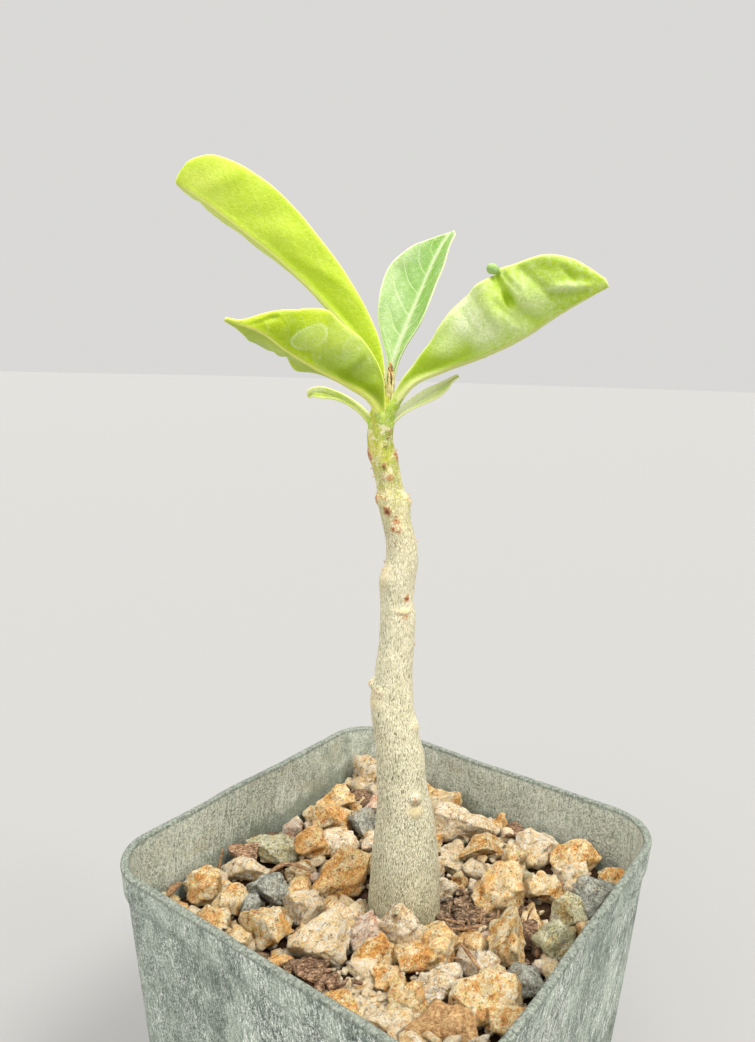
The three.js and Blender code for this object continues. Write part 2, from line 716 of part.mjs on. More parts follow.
// Two faces half the thickness either side of a grid of points, with a strip round the edge.
function bladeOver(middle, thickness) {
  const rows = middle.length;
  const columns = middle[0].length;
  const within = (value, count) => THREE.MathUtils.clamp(value, 0, count - 1);
  const at = (r, c) => middle[within(r, rows)][within(c, columns)];
  const faces = [[], []];
  for (let r = 0; r < rows; r += 1) {
    for (let c = 0; c < columns; c += 1) {
      const along = at(r + 1, c).clone().sub(at(r - 1, c));
      const across = at(r, c + 1).clone().sub(at(r, c - 1));
      const normal = along.cross(across).normalize();
      const half = thickness[r * columns + c] / 2;
      faces[0].push(at(r, c).clone().addScaledVector(normal, half));
      faces[1].push(at(r, c).clone().addScaledVector(normal, -half));
    }
  }
  const under = rows * columns;
  const index = [];
  for (let r = 0; r < rows - 1; r += 1) {
    for (let c = 0; c < columns - 1; c += 1) {
      const a = r * columns + c;
      const b = a + 1;
      const d = a + columns;
      const e = d + 1;
      index.push(a, d, e, a, e, b);
      index.push(under + a, under + e, under + d, under + a, under + b, under + e);
    }
  }
  const edge = [];
  for (let c = 0; c < columns - 1; c += 1) edge.push(c);
  for (let r = 0; r < rows - 1; r += 1) edge.push(r * columns + columns - 1);
  for (let c = columns - 1; c > 0; c -= 1) edge.push((rows - 1) * columns + c);
  for (let r = rows - 1; r > 0; r -= 1) edge.push(r * columns);
  edge.forEach((a, i) => {
    const b = edge[(i + 1) % edge.length];
    index.push(a, b, under + b, a, under + b, under + a);
  });
  const geometry = new THREE.BufferGeometry().setFromPoints([...faces[0], ...faces[1]]);
  geometry.setIndex(index);
  return geometry;
}

function budGeometry() {
  const profile = [[0, 0], [0.55, 0], [1, 0.3], [0.85, 0.62], [0.4, 0.92], [0, 1]];
  const points = profile.map(([r, h]) => new THREE.Vector2(r * BUD_RADIUS, h * BUD_LENGTH));
  const bud = new THREE.LatheGeometry(points, 8);
  return bud.rotateX(Math.PI / 2).translate(...BUD_PLACE);
}

// The scene graph

function mesh(name, geometry, material) {
  const node = new THREE.Mesh(geometry, material);
  node.name = name;
  return node;
}

const stemRoom = solid(stemLoft(GAP));
plant.add(mesh('stem', stemGeometry(), MATERIALS.bark));
plant.add(mesh('bud', budGeometry(), MATERIALS.bud));
for (const [name, leaf] of Object.entries(LEAVES)) {
  const rows = name.startsWith('leaflet') ? LEAFLET_ROWS : LEAF_ROWS;
  const blade = solid(leafGeometry(leaf, rows)).subtract(stemRoom);
  plant.add(mesh(name, largestBody(blade), finish(leaf.color, 0.5)));
}

const part = new THREE.Group();
part.add(mesh('pot', potGeometry(), MATERIALS.pot));
part.add(mesh('potting_soil', soilGeometry(), MATERIALS.soil));
part.add(mesh('gravel', gravelGeometry(), MATERIALS.stone));
part.add(plant);

export default part;
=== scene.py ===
# The looks of a young desert rose in a square nursery pot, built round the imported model.
# Sizes below are in millimetres, in the same frame as the model, with +Z up.
# make_piece turns them into metres.
import functools
import math
import random

import bmesh
import bpy
import numpy as np
from mathutils import Matrix, Vector, noise


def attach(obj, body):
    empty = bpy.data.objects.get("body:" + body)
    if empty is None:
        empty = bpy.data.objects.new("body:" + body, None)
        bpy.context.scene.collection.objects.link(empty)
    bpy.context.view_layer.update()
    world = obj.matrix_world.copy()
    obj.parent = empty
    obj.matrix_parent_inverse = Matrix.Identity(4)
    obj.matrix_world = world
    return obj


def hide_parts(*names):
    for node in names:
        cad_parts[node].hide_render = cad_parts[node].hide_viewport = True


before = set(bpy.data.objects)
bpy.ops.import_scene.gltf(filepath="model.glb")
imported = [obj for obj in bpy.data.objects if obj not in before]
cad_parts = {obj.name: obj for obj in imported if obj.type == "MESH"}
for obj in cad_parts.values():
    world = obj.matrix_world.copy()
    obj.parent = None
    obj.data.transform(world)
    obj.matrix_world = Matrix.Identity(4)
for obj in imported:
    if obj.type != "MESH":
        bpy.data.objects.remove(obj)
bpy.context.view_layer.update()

MM = 0.001
BODY = "root"
FULL_TURN = 2 * math.pi
ANY_TURN = (0, 6.28)  # radians that a scattered piece may be turned

# The pot
POT_WIDTH = 89
POT_HEIGHT = 85
POT_CORNER = 12
POT_DRAFT = 0.075
POT_WALL = 1.1
POT_FLOOR = 1.6
BAND_HEIGHT = 7
BAND_PROUD = 0.5
FOOT_ROUND = 1.5
LIP = 0.52  # radius of the rim's rounding
DRAIN_RADIUS = 4.5
DRAIN_SPREAD = 22
LOW_BAND_TOP = 76  # the darker band inside fades out at this height
WOBBLE_START = 30  # the walls are straight up to this height
WOBBLE = 0.55  # how far the thin rim strays from straight
NICK = 0.5

# The soil and the bed of chips
SOIL_TOP = 65
SOIL_GAP = 0.3  # between the soil and the pot
BED_TOP = 67.6
HEAP_RISE = 2.8
HEAP_FOOT = 17
HEAP_CREST = 33
MOUND_TOP = 68.6
MOUND_RADIUS = 11
PATCH_PLACE = (7.5, -14.5)
PATCH_RADIUS = 6.5
STEM_KEEP_OUT = 7.9  # no chip comes nearer to the stem's middle
WALL_MARGIN = 0.15

# The plant
PLANT_PLACE = (0.8, -1.9)
PLANT_FACING = math.radians(-53.65)
STEM = [
    (-18, 0, 7.9), (-12, 0, 7.65), (-5, -0.2, 7.3), (1.5, -0.3, 6.7), (8, -0.6, 6.0), (14.5, -1.5, 5.3),
    (21, -2.1, 5.0), (25, -2.9, 4.65), (30, -3.8, 4.45), (34.5, -3.9, 4.1), (39, -3.9, 3.85),
    (45, -3.4, 3.6), (51, -3.4, 3.6), (55, -3.75, 3.45), (58.5, -3.75, 3.65), (62, -3.0, 3.35),
    (66, -3.2, 3.1), (70.5, -4.3, 3.0), (74.5, -5.0, 3.15), (77, -5.7, 2.7), (82.5, -7.1, 2.7),
    (86.5, -8.0, 2.55), (89, -7.9, 2.5), (91.5, -7.7, 2.5), (93.3, -7.4, 2.15), (95, -7.1, 1.6),
    (96.8, -6.8, 0.95),
]
STEM_AROUND = 168
STEM_STEPS = 470
# Marks on the skin: height over the rim, turn in degrees, half height, half width, how far each stands out,
# and how rusty, dark and pale it is
STEM_MARKS = [
    (36.4, 190, 1.1, 1.0, 1.1, 0.3, 0.0, 0.3), (33.2, 196, 2.2, 2.4, 0.5, 0, 0, 0.5),
    (35.4, 222, 1.2, 1.5, 0.45, 0.34, 0, 0.2), (27.7, -20, 1.5, 1.4, 0.6, 0.1, 0, 0.4),
    (12.9, -62, 1.1, 1.1, 1.2, 0.36, 0.5, 0.0), (10.5, -66, 1.3, 1.8, 0.25, 0, 0, 0.8),
    (59.6, 215, 2.6, 1.5, 0.45, 0.1, 0, 0.5), (55.2, -55, 0.8, 0.8, 0.12, 0.9, 0.7, 0),
    (52.6, -70, 0.6, 1.8, 0.35, 0.1, 0, 0.9), (51.5, -66, 0.7, 1.2, 0.05, 0.5, 0, 0.3),
    (69.4, -98, 1.0, 1.4, 0.25, 0.6, 0, 0.4), (72.8, -118, 1.0, 1.0, 0.25, 0.8, 1.0, 0),
    (70.8, -90, 0.7, 1.2, 0.1, 0.7, 0.1, 0.4), (74.8, 195, 1.3, 1.1, 0.5, 0.7, 0, 0.4),
    (75.4, -140, 0.6, 1.2, 0.25, 0.5, 0, 0.3), (74.8, -15, 1.2, 1.0, 0.5, 0.5, 0, 0.5),
    (79.6, -85, 1.0, 1.1, 0.3, 0.7, 0.2, 0.2), (81.4, -95, 1.0, 0.6, 0.2, 0.5, 1.0, 0),
    (83.6, -160, 1.5, 1.1, 0.35, 0.9, 0.2, 0.1), (83.4, -25, 1.4, 0.8, 0.35, 0.8, 0.2, 0.2),
    (88.6, -40, 0.6, 0.9, 0.2, 0.4, 0.3, 0.6), (64, 60, 1.1, 1.3, 0.4, 0.3, 0, 0.4),
    (47, 110, 1.2, 1.4, 0.4, 0.2, 0, 0.6), (56, 20, 1.1, 1.2, 0.35, 0.4, 0, 0.3),
    (78, 100, 1.1, 1.2, 0.35, 0.8, 0.4, 0.1), (86.5, 60, 1.1, 1.2, 0.3, 0.8, 0.3, 0.2),
    (70, 130, 1.1, 1.2, 0.3, 0.7, 0.5, 0.1), (40, 40, 1.1, 1.3, 0.35, 0.2, 0, 0.6),
]
# Dry scales on the stem: height over the rim, turn in degrees, length, width and how far up each points
STEM_SCALES = [
    (74.6, 180, 1.3, 0.8, 0.5), (74.2, 174, 0.9, 0.6, 0.1), (75.6, 0, 1.3, 0.7, 0.5),
    (74.6, 8, 0.9, 0.6, 0.9), (80.6, 182, 0.9, 0.5, 0.4), (79.2, 190, 0.8, 0.4, 0.2),
    (83.9, 178, 0.8, 0.7, 0.6), (84.2, -4, 0.9, 0.6, 0.6), (90.2, 2, 1.2, 0.4, 0.8),
    (61.6, 186, 1.2, 0.9, 1.0), (60.6, 205, 1.0, 1.0, 0.4), (66.2, 4, 0.8, 0.6, 0.4),
    (44.5, 2, 0.7, 0.5, 0.3), (88.4, -40, 0.9, 0.7, 0.8), (87.0, -52, 0.8, 0.8, 0.3),
    (85.4, -70, 0.8, 0.7, 0.5), (82.0, -88, 0.7, 0.6, 0.9), (79.0, -110, 0.6, 0.7, 0.6),
    (71.6, -90, 0.7, 0.8, 0.4), (77.6, 90, 1.0, 0.7, 0.5), (83.0, 60, 1.0, 0.7, 0.5),
    (87.4, 120, 1.0, 0.7, 0.5), (73.6, 130, 0.9, 0.7, 0.5), (67.6, 70, 0.9, 0.7, 0.5),
]
# Scales round the growing tip: turn in degrees, how far each leans out and its length
TIP_SCALES = [
    (200, 0.1, 5.4), (-100, 0.07, 5.2), (-50, 0.12, 4.9), (40, 0.12, 5.0), (120, 0.1, 5.2),
    (-130, 0.14, 4.4),
]
BUD_PLACE = (-6.4, -0.7, 97.2)
BUD_LENGTH = 4.4
SCALE_SEED = 61
SCALE_ROOT = 0.35  # how deep in the skin a dry scale starts
TIP_SCALE_START = (0, 0, -2.8)  # from the foot of the tip
BUD_RADIUS = 0.62
BUD_PROFILE = [(0, 0.35), (0.1, 0.8), (0.3, 1.0), (0.55, 0.9), (0.8, 0.6), (0.95, 0.3), (1, 0.12)]

# Leaves in the plant's own frame: the midrib, the half width on each side along its length, the angle and
# dish of each side, the waves, and how strongly the ribs, veins, deep green and painted light show
LEAVES = {
    "leaf_upper_left": dict(
        midrib=[(-7.5, 0.9, 94.3), (-11.4, 1.4, 103.6), (-18.6, 2.2, 112.0), (-27.2, 3.2, 119.9),
            (-36.5, 4.4, 126.7), (-43.8, 5.6, 131.8), (-48.8, 6.4, 134.8)],
        upper=[(0, 0.9), (0.12, 3), (0.28, 6.3), (0.42, 8.3), (0.58, 10.4), (0.7, 9.9), (0.8, 8.6),
            (0.9, 6.4), (0.95, 5.2), (0.98, 4.1), (0.995, 2.7), (1, 1.5)],
        lower=[(0, 0.9), (0.12, 2.4), (0.3, 6.2), (0.5, 9.2), (0.68, 9.9), (0.82, 8.2), (0.92, 6),
            (0.97, 4.2), (1, 1.4)],
        angles=(15, -100), side=-1, sweep=22, curl=(-16, 14),
        waves=[(0.45, 0.12, 0.5, 1), (0.7, 0.12, 0.7, -1)], rib=0.2, veined=0.1, base_deep=0.7,
        lower_painted_light=0.8,
    ),
    "leaf_lower_left": dict(
        midrib=[(-8.0, -1.6, 91.2), (-10.0, -4.0, 94.6), (-14.8, -7, 97.6), (-20.0, -9.5, 100.2),
            (-24.9, -11.5, 103.0), (-29.6, -13.2, 106.2), (-35.5, -15, 107.8)],
        upper=[(0, 0.9), (0.13, 2.9), (0.22, 6.4), (0.3, 8.4), (0.42, 9.4), (0.52, 10.1), (0.64, 8.3),
            (0.76, 5.6), (0.87, 2), (0.93, 0.7), (1, 0.4)],
        lower=[(0, 0.9), (0.15, 1.4), (0.32, 2.8), (0.48, 5.8), (0.6, 8), (0.72, 7.8), (0.84, 5),
            (0.94, 1.8), (1, 0.5)],
        waves=[(0.36, 0.08, 0.5, 1), (0.495, 0.05, -1.6, -1), (0.57, 0.025, 0.6, -1),
            (0.66, 0.08, -0.3, -1)],
        angles=(15, -107), side=-1, sweep=15, curl=(-20, 10), tip_twist=-20, rib=0.75, rim=0.26,
        veined=0.12, base_deep=1.0, foot_deep=0.5, lower_painted_light=0.25,
    ),
    "leaf_centre": dict(
        midrib=[(-6.8, 1.1, 94.8), (-5.2, 3.1, 103.0), (-2.7, 4.8, 109.9), (-0.4, 6.4, 115.8),
            (1.9, 7.9, 121.5), (3.9, 9.2, 125.5), (5.6, 10, 127.8)],
        upper=[(0, 0.8), (0.13, 1.9), (0.18, 4.2), (0.26, 7.3), (0.38, 8.4), (0.48, 8.2), (0.6, 6.3),
            (0.72, 3.7), (0.84, 1.5), (0.94, 0.45), (1, 0.05)],
        lower=[(0, 0.8), (0.12, 2.8), (0.2, 4.8), (0.3, 6.6), (0.42, 6.2), (0.54, 5.5), (0.68, 4.2),
            (0.8, 3.5), (0.88, 2.7), (0.94, 1.4), (0.98, 0.45), (1, 0.05)],
        angles=(0, 116), side=1, sweep=20, curl=(14, -12),
        waves=[(0.3, 0.08, 0.4, 1), (0.55, 0.1, 0.5, -1)], rib=0.5, rib_least=0.46, rim=0.19, veined=0.9,
        rib_deep=0.5,
    ),
    "leaf_right": dict(
        midrib=[(-5.9, -1.9, 92.8), (-2.2, -4, 97.7), (3.6, -5.6, 100.5), (10.6, -7.6, 103.2),
            (17.0, -9.4, 106.4), (24.0, -11, 111.2), (31.1, -13, 115.3)],
        upper=[(0, 0.9), (0.18, 2.4), (0.27, 4.9), (0.33, 7.1), (0.4, 10.1), (0.48, 11.6), (0.6, 12.3),
            (0.66, 12.8), (0.75, 11.7), (0.84, 10.1), (0.92, 7.2), (0.97, 4.0), (1, 1.5)],
        lower=[(0, 0.9), (0.18, 2.4), (0.3, 6.2), (0.4, 11.2), (0.5, 10.6), (0.65, 10.6), (0.8, 8.4),
            (0.92, 4.8), (1, 1.5)],
        waves=[(0.44, 0.06, -1.0, 1), (0.56, 0.07, 1.2, 1), (0.7, 0.07, -0.9, 1), (0.84, 0.06, 0.8, 1),
            (0.6, 0.1, -0.8, -1)],
        angles=(10, -38), side=1, sweep=10, curl=(-26, -16), rib=0.75, rim=0.3, veined=0.1, base_deep=1.0,
        foot_deep=1.0,
    ),
    "leaflet_left": dict(
        midrib=[(-9.8, -0.9, 89.9), (-12.0, -1.2, 92.3), (-14.9, -1.4, 94.1), (-18.3, -1.6, 95.1),
            (-21.2, -1.8, 95.3), (-22.0, -1.8, 94.4)],
        upper=[(0, 0.7), (0.3, 0.8), (0.5, 1.1), (0.66, 1.4), (0.78, 1.1), (0.88, 0.9), (1, 0.3)],
        lower=[(0, 0.7), (0.3, 0.7), (0.55, 0.8), (0.7, 1.2), (0.85, 0.7), (1, 0.3)],
        angles=(25, 150), side=-1, sweep=0, curl=(0, 0), waves=[], rib=0.1,
    ),
    "leaflet_right": dict(
        midrib=[(-5.9, -1.4, 90.2), (-3.9, -1.9, 92.2), (-1.0, -2.1, 94.2), (2.6, -2.3, 96.5),
            (6.6, -2.5, 99.3)],
        upper=[(0, 0.7), (0.2, 0.9), (0.4, 1.3), (0.65, 1.5), (0.85, 0.9), (1, 0.4)],
        lower=[(0, 0.7), (0.2, 0.8), (0.45, 1.2), (0.72, 1.9), (0.84, 1.5), (0.92, 0.6), (1, 0.4)],
        angles=(25, 135), side=1, sweep=0, curl=(0, 0), waves=[], rib=0.1,
    ),
}
# What each leaf wears: its finish and its slot
LEAF_DRESS = [
    ("leaf_upper_left", "bright", "leaf"), ("leaf_lower_left", "grassy", "leaf"),
    ("leaf_centre", "waxy", "leaf_waxy"), ("leaf_right", "soft", "leaf"),
    ("leaflet_left", "soft", "leaf_waxy"), ("leaflet_right", "pale", "leaf_waxy"),
]
SWEEP_FADE = 6
ROW_CROWDING = 1.35
# Rows along a blade and columns on each side of its midrib
LEAF_GRID = (190, 30)
LEAFLET_GRID = (60, 10)
BLADE = 0.5
MIDRIB_SWELL = 0.75
MIDRIB_REACH = 0.6
VEIN_PAIRS = 9
VEIN_LEAN = 0.13
VEIN_OFFSET = 0.35  # the two sides' veins leave the midrib in turn
RIM_WIDTH = 0.2
TWIST_START = 0.64
TWIST_RUN = 0.16
# Creases: where each starts and ends, along and across the leaf, how far it stands out and its width
FOLD_SPAN = (40, 9)
LEAF_FOLDS = {
    "leaf_right": [
        (0.63, 1.0, 0.665, 0.55, -0.85, 0.9), (0.665, 0.55, 0.74, 0.05, -0.75, 1.0),
        (0.71, 0.8, 0.73, 0.5, 0.5, 1.2), (0.55, 0.95, 0.57, 0.5, 0.6, 1.6),
        (0.84, 0.44, 0.93, 0.3, 0.5, 0.7), (0.82, 0.28, 0.92, 0.14, -0.4, 0.8),
        (0.82, 0.8, 0.93, 0.5, -0.3, 1.2), (0.36, 0.7, 0.44, 0.25, -0.5, 1.8),
        (0.5, 0.9, 0.57, 0.25, -0.28, 0.5), (0.6, 0.62, 0.68, 0.2, -0.32, 0.55),
        (0.76, 0.88, 0.81, 0.35, -0.34, 0.6), (0.68, 0.9, 0.72, 0.6, -0.3, 0.5),
        (0.43, 0.85, 0.49, 0.35, -0.22, 0.45), (0.88, 0.75, 0.91, 0.3, -0.25, 0.5),
    ],
    "leaf_lower_left": [
        (0.2, 0.8, 0.26, 0.2, 0.45, 1.2), (0.3, 0.75, 0.36, 0.2, -0.4, 1.0), (0.8, 0.7, 0.9, 0.1, 0.5, 0.9),
        (0.6, -0.9, 0.64, -0.2, -0.3, 0.8),
    ],
    "leaf_upper_left": [
        (0.3, 0.8, 0.5, 0.1, -0.3, 1.2), (0.5, 0.85, 0.66, 0.1, 0.3, 1.4),
        (0.7, 0.85, 0.84, 0.1, -0.25, 1.4), (0.84, -0.9, 0.86, -0.2, 0.3, 1.3),
        (0.7, -0.9, 0.72, -0.2, -0.2, 1.3),
    ],
    "leaf_centre": [
        (0.3, 0.7, 0.24, 0.1, -0.2, 1.0), (0.5, 0.7, 0.44, 0.1, -0.2, 1.0),
    ],
}
# Water marks, and pale patches of painted sheen: along and across the leaf, half length and half width in
# millimetres, turn in degrees, edge strength and fill strength
SPOT_SPAN = (36, 9.5)
LEAF_SPOTS = {
    "leaf_lower_left": [
        (0.585, 0.45, 3.6, 1.8, 142, 0.75, 0.3), (0.45, 0.4, 3.8, 3.6, 0, 0.3, 0.2),
        (0.3, 0.62, 3.5, 3.4, 0, 0.55, 0.36), (0.2, 0.85, 1.8, 1.6, 0, 0.4, 0.2),
        (0.26, 0.8, 0.7, 0.5, 0, 0, 1.0), (0.3, 0.5, 0.6, 0.4, 0, 0, 0.7),
        (0.4, 0.35, 1.4, 0.8, 30, 0.4, 0.3), (0.38, 0.6, 0.5, 0.4, 0, 0, 0.6),
        (0.33, 0.78, 0.5, 0.35, 0, 0, 1.0), (0.5, 0.2, 0.5, 0.3, 0, 0, 0.8),
        (0.34, 0.9, 5, 1.6, 0, 0, 0.35),
    ],
    "leaf_right": [
        (0.42, 0.55, 4.6, 3.4, 0, 0, 1.0), (0.48, 0.3, 5, 2.6, 0, 0, 0.8), (0.7, 0.3, 4, 3, 20, 0, 0.45),
        (0.72, 0.62, 2.4, 2.0, 0, 0, 0.3), (0.86, 0.38, 2.6, 0.9, -20, 0, 0.45),
        (0.44, 0.9, 4, 1.2, 0, 0, 0.8),
    ],
    "leaflet_left": [
        (0.75, 0.6, 5, 4, 0, 0, 0.6), (0.2, 0.8, 8, 2, 0, 0, 0.7),
    ],
    "leaflet_right": [
        (0.5, 0.5, 14, 9, 0, 0, 0.7),
    ],
    "leaf_centre": [
        (0.26, 0.6, 6, 4, 0, 0, 0.6), (0.45, 0.85, 8, 2, 0, 0, 0.6),
    ],
    "leaf_upper_left": [
        (0.85, 0.3, 5, 4, 0, 0, 0.7), (0.6, 0.5, 8, 4, 0, 0, 0.15),
    ],
}
# Leaf bases: how thick each is at the blade and at the stem, and the point it sinks into
LEAF_BASES = {
    "leaf_upper_left": (0.85, 1.35, (-7.8, 0.5, 89.0)),
    "leaf_lower_left": (0.9, 1.6, (-8.3, 0.1, 86.0)),
    "leaf_centre": (0.75, 1.2, (-7.4, 0.5, 89.5)),
    "leaf_right": (0.95, 1.45, (-7.4, -0.1, 87.0)),
    "leaflet_left": (0.6, 1.0, (-8.6, -0.2, 86.0)),
    "leaflet_right": (0.6, 1.0, (-7.3, -0.2, 86.5)),
}
BASE_REACH = 0.17
CURL_PLACE = 0.6
CURL_RADIUS = 1.0
CURL_PATH = [(0, 1.8, 0.1), (0.5, 1.15, 0.9), (1, 0.1, 1.9)]

# The chips that show most: x, y, height of the middle, long, wide, high, turn and kind
LANDMARK_STONES = [
    (35.5, 36.5, 73.5, 10, 9, 11, 0, "cream"), (31.5, 33.5, 70, 9, 6, 4, 10, "bark"),
    (23.5, 36, 71, 11, 8, 8, 0, "gold"), (7.5, 37, 70, 6, 6, 6, 20, "pink"),
    (15, 30.5, 71, 11, 7, 8, 10, "orange"), (4.5, 28, 71, 12, 9, 10, 80, "orange"),
    (21, 24.5, 70, 8, 8, 7, 30, "grey"), (-3, 34, 71, 13, 9, 8, -5, "green"),
    (-9, 38.5, 70.5, 7, 5, 6, 0, "bark"), (-11, 34, 70, 12, 7, 6, -10, "cream"),
    (10, 23.5, 70, 10, 9, 8, 0, "speck"), (0, 15, 71, 16, 11, 9, 40, "orange"),
    (-15.5, 25.5, 71, 12, 7, 8, -30, "grey"), (-23.5, 36, 71, 9, 8, 8, 0, "gold"),
    (-22, 29, 71, 10, 8, 9, 70, "gold"), (-19.5, 24.5, 69.5, 4.5, 4.5, 5, 0, "grey"),
    (-14.5, 14, 70.5, 9, 8, 8, 0, "cream"), (-10, 7, 70, 7, 5, 6, 0, "cream"),
    (-24, 15.5, 71, 11, 10, 9, 0, "gold"), (-18.5, 11, 69, 3.5, 3.5, 4, 0, "orange"),
    (-20.5, 4, 71, 13, 10, 9, 30, "cream"), (-12.5, -2.5, 70.5, 8.5, 7, 8, -20, "pink"),
    (-8.3, -6.6, 72, 9, 8, 11, 10, "speck"), (-15, -6.5, 70, 9.5, 7, 7, 0, "orange"),
    (-8.5, -14, 71, 12, 11, 10, 15, "gold"), (-19.5, -6, 69.5, 6, 5, 5, 0, "cream"),
    (-15, -20, 70, 10, 8, 7, 0, "speck"), (-27, -1, 67.8, 12, 6, 4, -30, "bark"),
    (-21, -18.5, 70, 8, 7, 7, 0, "orange"), (-22, -26.5, 70, 12.5, 7, 7, 10, "wood"),
    (-12.5, -29.5, 71, 13.5, 10, 9, 20, "gold"), (-15, -36, 70.5, 9, 7, 8, 0, "orange"),
    (3.5, -25.5, 71, 11, 8, 10, 80, "gold"), (-3, -33, 70, 8.5, 8, 7, 0, "grey"),
    (16.5, -17, 71.5, 13, 11, 11, 60, "gold"), (29.5, -6.5, 71.5, 17, 7, 7, 35, "gold"),
    (33, 2.5, 72.5, 17, 9, 9, 5, "speck"), (36.5, 10, 73, 9, 8, 9, 0, "gold"),
    (38.5, -4.5, 73, 4, 4, 6, 0, "orange"), (34, -17.5, 72.5, 10.5, 9, 8, -10, "cream"),
    (28.5, -14.5, 72, 8, 6, 9, 75, "gold"), (23.5, -22.5, 71, 9.5, 8, 8, 0, "gold"),
    (36, -26.5, 73, 12, 7, 8, 15, "orange"), (29.5, -28, 72, 9, 8, 9, 60, "cream"),
    (35.5, -36, 72.5, 7, 5, 5, 0, "orange"), (28.5, -35, 71.5, 12, 9, 9, 20, "grey"),
    (20.5, -32, 70.5, 8.5, 8, 8, 0, "green"), (10.5, -33, 71, 12, 10, 10, 60, "green"),
    (10, -27.5, 70, 4.5, 4, 6, 0, "bark"), (16.5, -37.5, 70.5, 5, 5, 6, 0, "gold"),
    (1.5, -37.5, 70, 6, 6, 6, 0, "gold"), (15.5, 0, 70, 8, 4.5, 7, 70, "cream"),
    (17, -6.5, 69.5, 4, 3.5, 5, 0, "gold"), (21.5, -7.5, 70, 5.5, 4.5, 6, 0, "cream"),
    (-29, 17.5, 70, 5, 5, 6, 0, "gold"), (-29.5, 26.5, 70.5, 10, 7, 7, -60, "gold"),
]
# Chips that close the gaps beside the stem, for looks alone, in the same form
EXTRA_STONES = [
    (-6.6, 4.8, 70, 5.2, 4.4, 5, 30, "cream"), (-8.8, 1.4, 69.6, 4.6, 4, 4.6, 0, "pink"),
    (-11.5, 3.2, 69.4, 4, 3.6, 4, 50, "gold"), (-5.5, -11, 70.2, 4.6, 4, 5, 0, "cream"),
]
FILL_SEED = 20231
FILL_TRIES = 2600
FILL_REACH = 39.5
FILL_LARGEST = 9.5
FILL_SMALLEST = 3.8
FILL_CLOSENESS = 0.84
FILL_MARGIN = 0.25
FILL_PROUD = 0.17
FILL_FLATNESS = 0.75
FILL_SLENDER = (0.65, 0.95)
FILL_CORNER = 3
STEM_CLEARANCE = 9.5
FILL_KINDS = ["gold"] * 5 + ["cream"] * 3 + ["orange"] * 3 + ["speck"] * 2 + ["gold", "green", "pink", "bark"]
STONE_GROWTH = 1.04
STONE_SEED = 11
FINE_STONE = 6.5  # chips longer than this get a finer mesh

# Small stuff between the chips
SCATTER_REACH = 40
SMALL_SEED = 23
SMALL_COUNT = 420
SMALL_SIZES = (2.2, 4.6)
GRIT_SEED = 37
GRIT_COUNT = 1500
GRIT_SIZES = (0.7, 1.9)
GRIT_PLACE = (-25, -12)
GRIT_SPREAD = 4
# How many, one in how many strays, the near and far spread, the furthest place and the height over the bed
FLAKES = (90, 4, 4.6, 22, 39, 1.2)
FIBRES = (60, 3, 4.2, 20, 36, 1.5)
BITS_SEED = 53
BARK_SEED = 71
BARK_PLACE = (-27, -1)
BARK_COUNT = 46
BARK_SPREAD = (2.625, 1.5)
BARK_TURN = math.radians(-84)
BARK_TOP = 69.6
# Twigs among the chips: both ends, the width and how far each bends
TWIGS = [
    ((-19.1, 35.8, 69), (-17.6, 35.6, 78), 0.95, 0.3), ((-12.8, 26.0, 72.6), (-8.0, 24.1, 74.2), 1.3, 0.5),
    ((-8.6, 24.6, 74.0), (-5.6, 18.8, 72.6), 1.1, 0.4),
    ((-5.7, -19.8, 73.5), (-8.4, -26.1, 72.4), 1.1, 0.2),
    ((0.1, -11.6, 71.4), (0.6, -17.4, 72.6), 0.9, 0.3),
    ((-1.6, -14.5, 71.6), (2.2, -20.5, 72.8), 1.0, -0.3),
    ((12.6, -27.2, 75.0), (11.3, -26.6, 71.0), 0.6, 0.5),
    ((-31.0, 39.6, 70.6), (-26.8, 39.4, 72.6), 2.2, 0.3),
]
TWIG_SHADE = 0.6

# The setting
CAMERA_PLACE = (-131.57, -89.29, 184.17)
CAMERA_YAW = math.radians(36.35)
CAMERA_PITCH = math.radians(10.33)
CAMERA_ROLL = math.radians(1.555)
FOCAL_PIXELS = 805.2
PHOTO_HEIGHT = 1042
SENSOR = 36
SKY_TONE = (1.0, 0.99, 0.97, 1)
SKY_STRENGTH = 0.7
# Suns: name, azimuth from +X towards +Y, elevation, strength, spread in degrees and tone
SUNS = [
    ("key", 272, 55, 2.7, 20, (1, 0.98, 0.94)),
    ("fill", 185, 40, 1.35, 50, (1, 1, 1)),
    ("back", 60, 40, 0.4, 50, (1, 1, 1)),
    ("top", 200, 84, 1.7, 50, (1, 1, 1)),
]


# Colours and node materials

def colour(code):
    """A linear colour from a screen colour such as #F5C580."""
    shown = [int(code[i:i + 2], 16) / 255 for i in (1, 3, 5)]
    return (*(v / 12.92 if v <= 0.04045 else ((v + 0.055) / 1.055) ** 2.4 for v in shown), 1.0)


